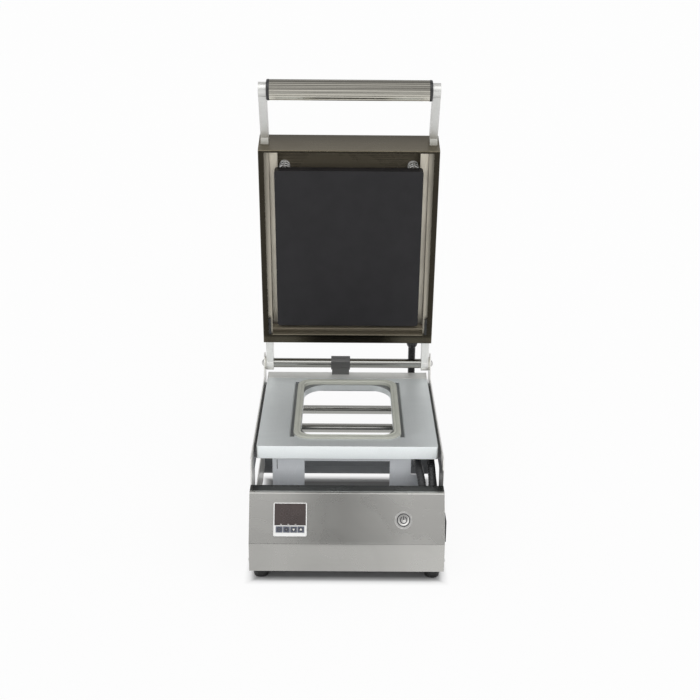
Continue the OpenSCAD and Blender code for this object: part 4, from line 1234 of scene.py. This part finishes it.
class SEALER_OT_glands(bpy.types.Operator):
    """Makes the two cable glands at the ends of the conduit"""

    bl_idname = "sealer.glands"
    bl_label = "Glands"

    def execute(self, context):
        plastic = moulded("gland plastic", colours().black, 0.36, size=0.35, wear=0.2, radius=0.2)

        def lower(rows):
            """Upright on the conduit bracket."""
            return rows + (GLAND_X, BRACKET_Y, BRACKET_Z)

        def upper(rows):
            """Through the lid's rear wall, with its mouth to the rear."""
            turned = np.stack([rows[..., 0] + GLAND_X, LID_GLAND[0] - rows[..., 2],
                               rows[..., 1] + LID_GLAND[1]], -1)
            return on_lid(turned)

        made = piece("gland_base", [gland_shell(BASE_REACH, lower)], plastic, "base")
        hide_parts("base_gland")
        made = piece("gland_lid", [gland_shell(LID_REACH, upper)], plastic, "lid")
        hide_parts("lid_gland")
        return {"FINISHED"}


# Section of the gasket: share of the way from the inner to the outer edge, height in mm
GASKET_SECTION = np.array([
    [0.0, 0.0], [0.0, 4.6], [0.012, 5.2], [0.05, 5.7], [0.11, 6.0], [0.2, 6.0], [0.25, 5.75],
    [0.3, 5.35], [0.36, 5.25], [0.42, 5.35], [0.48, 5.65], [0.56, 5.75], [0.8, 5.7],
    [0.9, 5.5], [0.96, 5.1], [0.99, 4.5], [1.0, 3.8], [1.0, 0.0]])
GASKET_WIDTH, GASKET_INNER_R, GASKET_OUTER_R = 10.9 * MM, 18 * MM, 23.9 * MM


class SEALER_OT_gasket(bpy.types.Operator):
    """Makes the moulded silicone gasket round the tray opening"""

    bl_idname = "sealer.gasket"
    bl_label = "Sealing gasket"

    def execute(self, context):
        low, high = np.array(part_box("die_rim"))
        half_w, half_l = ((high - low) / 2)[:2]
        inner = rounded_loop(half_w - GASKET_WIDTH, half_l - GASKET_WIDTH, GASKET_INNER_R, 18)
        outer = rounded_loop(half_w, half_l, GASKET_OUTER_R, 18)
        share, height = GASKET_SECTION.T
        flat = inner[:, None] + (outer - inner)[:, None] * share[None, :, None]
        rise = low[2] + height * (high[2] - low[2]) / height.max()
        rows = np.dstack([flat + ((low + high) / 2)[:2], np.broadcast_to(rise, flat.shape[:2])])
        silicone = moulded("gasket silicone", colours().gasket, 0.5, size=0.7, relief=0.02,
                           wear=0.0, mottle=0.035, tone=gasket_painted_shade)
        made = piece("sealing_gasket", [shell(rows, ring=True)], silicone, "die",
                     sharp=50)
        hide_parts("die_rim")
        return {"FINISHED"}


class SEALER_OT_feet(bpy.types.Operator):
    """Makes the four tapered rubber feet with ring grooves"""

    bl_idname = "sealer.feet"
    bl_label = "Rubber feet"

    def execute(self, context):
        low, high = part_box("rubber_feet")
        groove = context.scene.sealer_sizes.foot_tread / MM
        outline = np.array([
            [2.6, 5], [5.6, 5], [6.0, 4.6], [6.0, 0.3], [6.3, 0], [9.4, 0], [10.1, 0.25],
            [10.5, 0.9], [11.2, 4.6], [11.3 - groove, 5.0], [11.4 - groove, 5.8], [11.5, 6.2],
            [12.0, 8.9], [12.1 - groove, 9.3], [12.2 - groove, 10.1], [12.3, 10.5], [12.9, 14.2],
            [13, 15.0], [13, 17.4], [12.7, 17.9], [12.4, 18], [2.6, 18]]) * MM
        rows = lathe(outline, sides=64)
        widest = outline[:, 0].max()
        shells = [shell(rows + (x, y, 0.0), ring=True)
                  for x in (low[0] + widest, high[0] - widest)
                  for y in (low[1] + widest, high[1] - widest)]
        rubber = moulded("foot rubber", colours().rubber, 0.6, relief=0.05, wear=0.0)
        made = piece("feet", shells, rubber, "base")
        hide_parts("rubber_feet")
        return {"FINISHED"}


# Middles of the seven bars of a digit, in half heights, and whether each lies level
DIGIT_BARS = ((0, 1, True), (-0.5, 0.5, False), (0.5, 0.5, False), (0, 0, True),
              (-0.5, -0.5, False), (0.5, -0.5, False), (0, -1, True))
# Thickness of the display's print, from under the window's face to just above it
PRINT = (5.55 * MM, 5.64 * MM)
# In digit heights: half a bar's thickness, a digit's lean and the pitch of the digits
BAR_HALF, DIGIT_LEAN, DIGIT_PITCH = 0.075, 0.12, 0.84
# Half the length of a level and of an upright bar, in half heights
LEVEL_REACH, UPRIGHT_REACH = 0.42, 0.44
# The two rows of digits: how far up from the controls, and their size against digit_h
DIGITS, DIGIT_ROWS = 4, ((10.6 * MM, 1.0), (-0.2 * MM, 0.72))
# The lamps under the digits: up from the controls, and sideways in mm
LAMPS_UP, LAMPS_X = -6.8 * MM, (-13.0, -2.6, 7.8)
# Half the width and height of a lamp, and its corner radius
LAMP = (1.3 * MM, 0.45 * MM, 0.3 * MM)


def digit_bars(x, y, height):
    """Seven pointed bars of one display digit, leaning a little."""
    half, thick = height / 2, height * BAR_HALF
    made = []
    for u, v, level in DIGIT_BARS:
        reach = half * (LEVEL_REACH if level else UPRIGHT_REACH)
        bar = np.array([[-reach, 0], [-reach + thick, -thick], [reach - thick, -thick],
                        [reach, 0], [reach - thick, thick], [-reach + thick, thick]])
        if not level:
            bar = bar[:, ::-1]
        bar = bar + (u * half, v * half)
        bar[:, 0] += bar[:, 1] * DIGIT_LEAN
        made.append(shell(on_panel(slab(bar + (x, y), *PRINT))))
    return made


class SEALER_OT_display(bpy.types.Operator):
    """Makes the unlit digits in the controller window"""

    bl_idname = "sealer.display"
    bl_label = "Display digits"

    def execute(self, context):
        middle = middle_x("controller_window")
        shells = []
        for up, share in DIGIT_ROWS:
            height = context.scene.sealer_sizes.digit_h * share
            for i in range(DIGITS):
                x = middle + (i - (DIGITS - 1) / 2) * height * DIGIT_PITCH
                shells += digit_bars(x, CONTROL_UP + up, height)
        piece("display_digits", shells, inlay("unlit segments", (0.0465, 0.034, 0.032), 0.3, 0.3),
              "base")
        lamp = rounded_loop(*LAMP, 4) + (middle, CONTROL_UP + LAMPS_UP)
        lamps = [shell(on_panel(slab(lamp + (x * MM, 0), *PRINT))) for x in LAMPS_X]
        piece("display_lamps", lamps, inlay("pale lamps", (0.55, 0.54, 0.52), 0.35, 0.3),
              "base")
        return {"FINISHED"}


# Keys, out of the panel and up from the controls, and the thicknesses of their marks
KEY_TOP, KEY_UP = 6.2 * MM, -14.2 * MM
KEY_SUNK, KEY_PROUD, KEY_GLYPH = KEY_TOP - 0.05 * MM, KEY_TOP + 0.06 * MM, KEY_TOP + 0.17 * MM
# A mark's dark disc, and the nearly full ring on the first key; the others have arrows
DISC_R, RING_R, RING_WIDTH, RING_TURNS = 3.1 * MM, 1.5 * MM, 0.35 * MM, 0.999
# Angle and size of each arrow
KEY_ARROWS = ((TURN / 2, 1.5 * MM), (-TURN / 4, 2.4 * MM), (TURN / 4, 2.4 * MM))

# Power mark: its arc's ends in turns, radius and width; half the bar's width and length,
# and how far up it is; heights out of the panel of both, the arc's top and the bar's top
POWER_ENDS, POWER_R, POWER_WIDTH = (0.33, 1.17), 4.6 * MM, 1.3 * MM
BAR_W, BAR_L, BAR_UP = 0.65 * MM, 2.6 * MM, 3.1 * MM
POWER_LOW, ARC_HIGH, BAR_HIGH = 2.5 * MM, 3.02 * MM, 3.06 * MM


def arrow(angle, size):
    """Triangle that points along an angle."""
    return size * rays(angle + even_angles(3))


class SEALER_OT_marks(bpy.types.Operator):
    """Makes the raised marks on the keys and the power mark on the button"""

    bl_idname = "sealer.marks"
    bl_label = "Control marks"

    def execute(self, context):
        pale = inlay("pale print", (0.62, 0.62, 0.6))
        faint = inlay("faint print", (0.2, 0.21, 0.25))
        dark = inlay("dark inlay", (0.03, 0.03, 0.034), 0.35)
        disc = slab(DISC_R * rays(even_angles(28)), KEY_SUNK, KEY_PROUD)
        glyphs = [arc_band(0, TURN * RING_TURNS, RING_R, RING_WIDTH, KEY_PROUD, KEY_GLYPH)]
        glyphs += [slab(arrow(*shape), KEY_PROUD, KEY_GLYPH) for shape in KEY_ARROWS]
        for i, glyph in enumerate(glyphs):
            body, mark = "key_%d" % (i + 1), "key_mark_%d" % (i + 1)
            centre = (middle_x("controller_" + body), CONTROL_UP + KEY_UP, 0)
            piece(mark + "_disc", [shell(on_panel(disc + centre))], dark, body)
            piece(mark, [shell(on_panel(glyph + centre))], faint if i < 2 else pale, body)
        centre = (middle_x("button_cap"), CONTROL_UP, 0)
        start, end = (TURN * share for share in POWER_ENDS)
        arc = arc_band(start, end, POWER_R, POWER_WIDTH, POWER_LOW, ARC_HIGH)
        outline = rounded_loop(BAR_W, BAR_L, BAR_W - 0.05 * MM, 5) + (0, BAR_UP)
        bar = slab(outline, POWER_LOW, BAR_HIGH)
        piece("power_mark", [shell(on_panel(made + centre)) for made in (arc, bar)], dark,
              "power_button")
        return {"FINISHED"}


# ---------------------------------------------------------------- panel and run

class SEALER_PT_panel(bpy.types.Panel):
    """Lists the steps and the settings of the sealer's finishes"""

    bl_idname = "SEALER_PT_panel"
    bl_label = "Tray sealer"
    bl_space_type = "VIEW_3D"
    bl_region_type = "UI"
    bl_category = "Tray sealer"

    def draw(self, context):
        column = self.layout.column(align=True)
        for step in OPERATORS:
            column.operator(step.bl_idname)
        for settings in (context.scene.sealer_sizes, context.scene.sealer_colours):
            box = self.layout.box()
            for key in settings.bl_rna.properties.keys():
                if key not in ("rna_type", "name"):
                    box.prop(settings, key)


OPERATORS = (SEALER_OT_stage, SEALER_OT_effects, SEALER_OT_base_sheet, SEALER_OT_lid,
             SEALER_OT_arms, SEALER_OT_heater, SEALER_OT_die, SEALER_OT_rollers,
             SEALER_OT_controls, SEALER_OT_springs, SEALER_OT_conduit, SEALER_OT_wiring,
             SEALER_OT_glands, SEALER_OT_gasket, SEALER_OT_feet, SEALER_OT_display,
             SEALER_OT_marks)
CLASSES = (SealerSizes, SealerColours) + OPERATORS + (SEALER_PT_panel,)


def register():
    for made in CLASSES:
        bpy.utils.register_class(made)
    bpy.types.Scene.sealer_sizes = PointerProperty(type=SealerSizes)
    bpy.types.Scene.sealer_colours = PointerProperty(type=SealerColours)


def unregister():
    del bpy.types.Scene.sealer_colours
    del bpy.types.Scene.sealer_sizes
    for made in reversed(CLASSES):
        bpy.utils.unregister_class(made)


def main():
    register()
    for step in OPERATORS:
        getattr(bpy.ops.sealer, step.bl_idname.split(".")[1])()


if __name__ == "__main__":
    main()
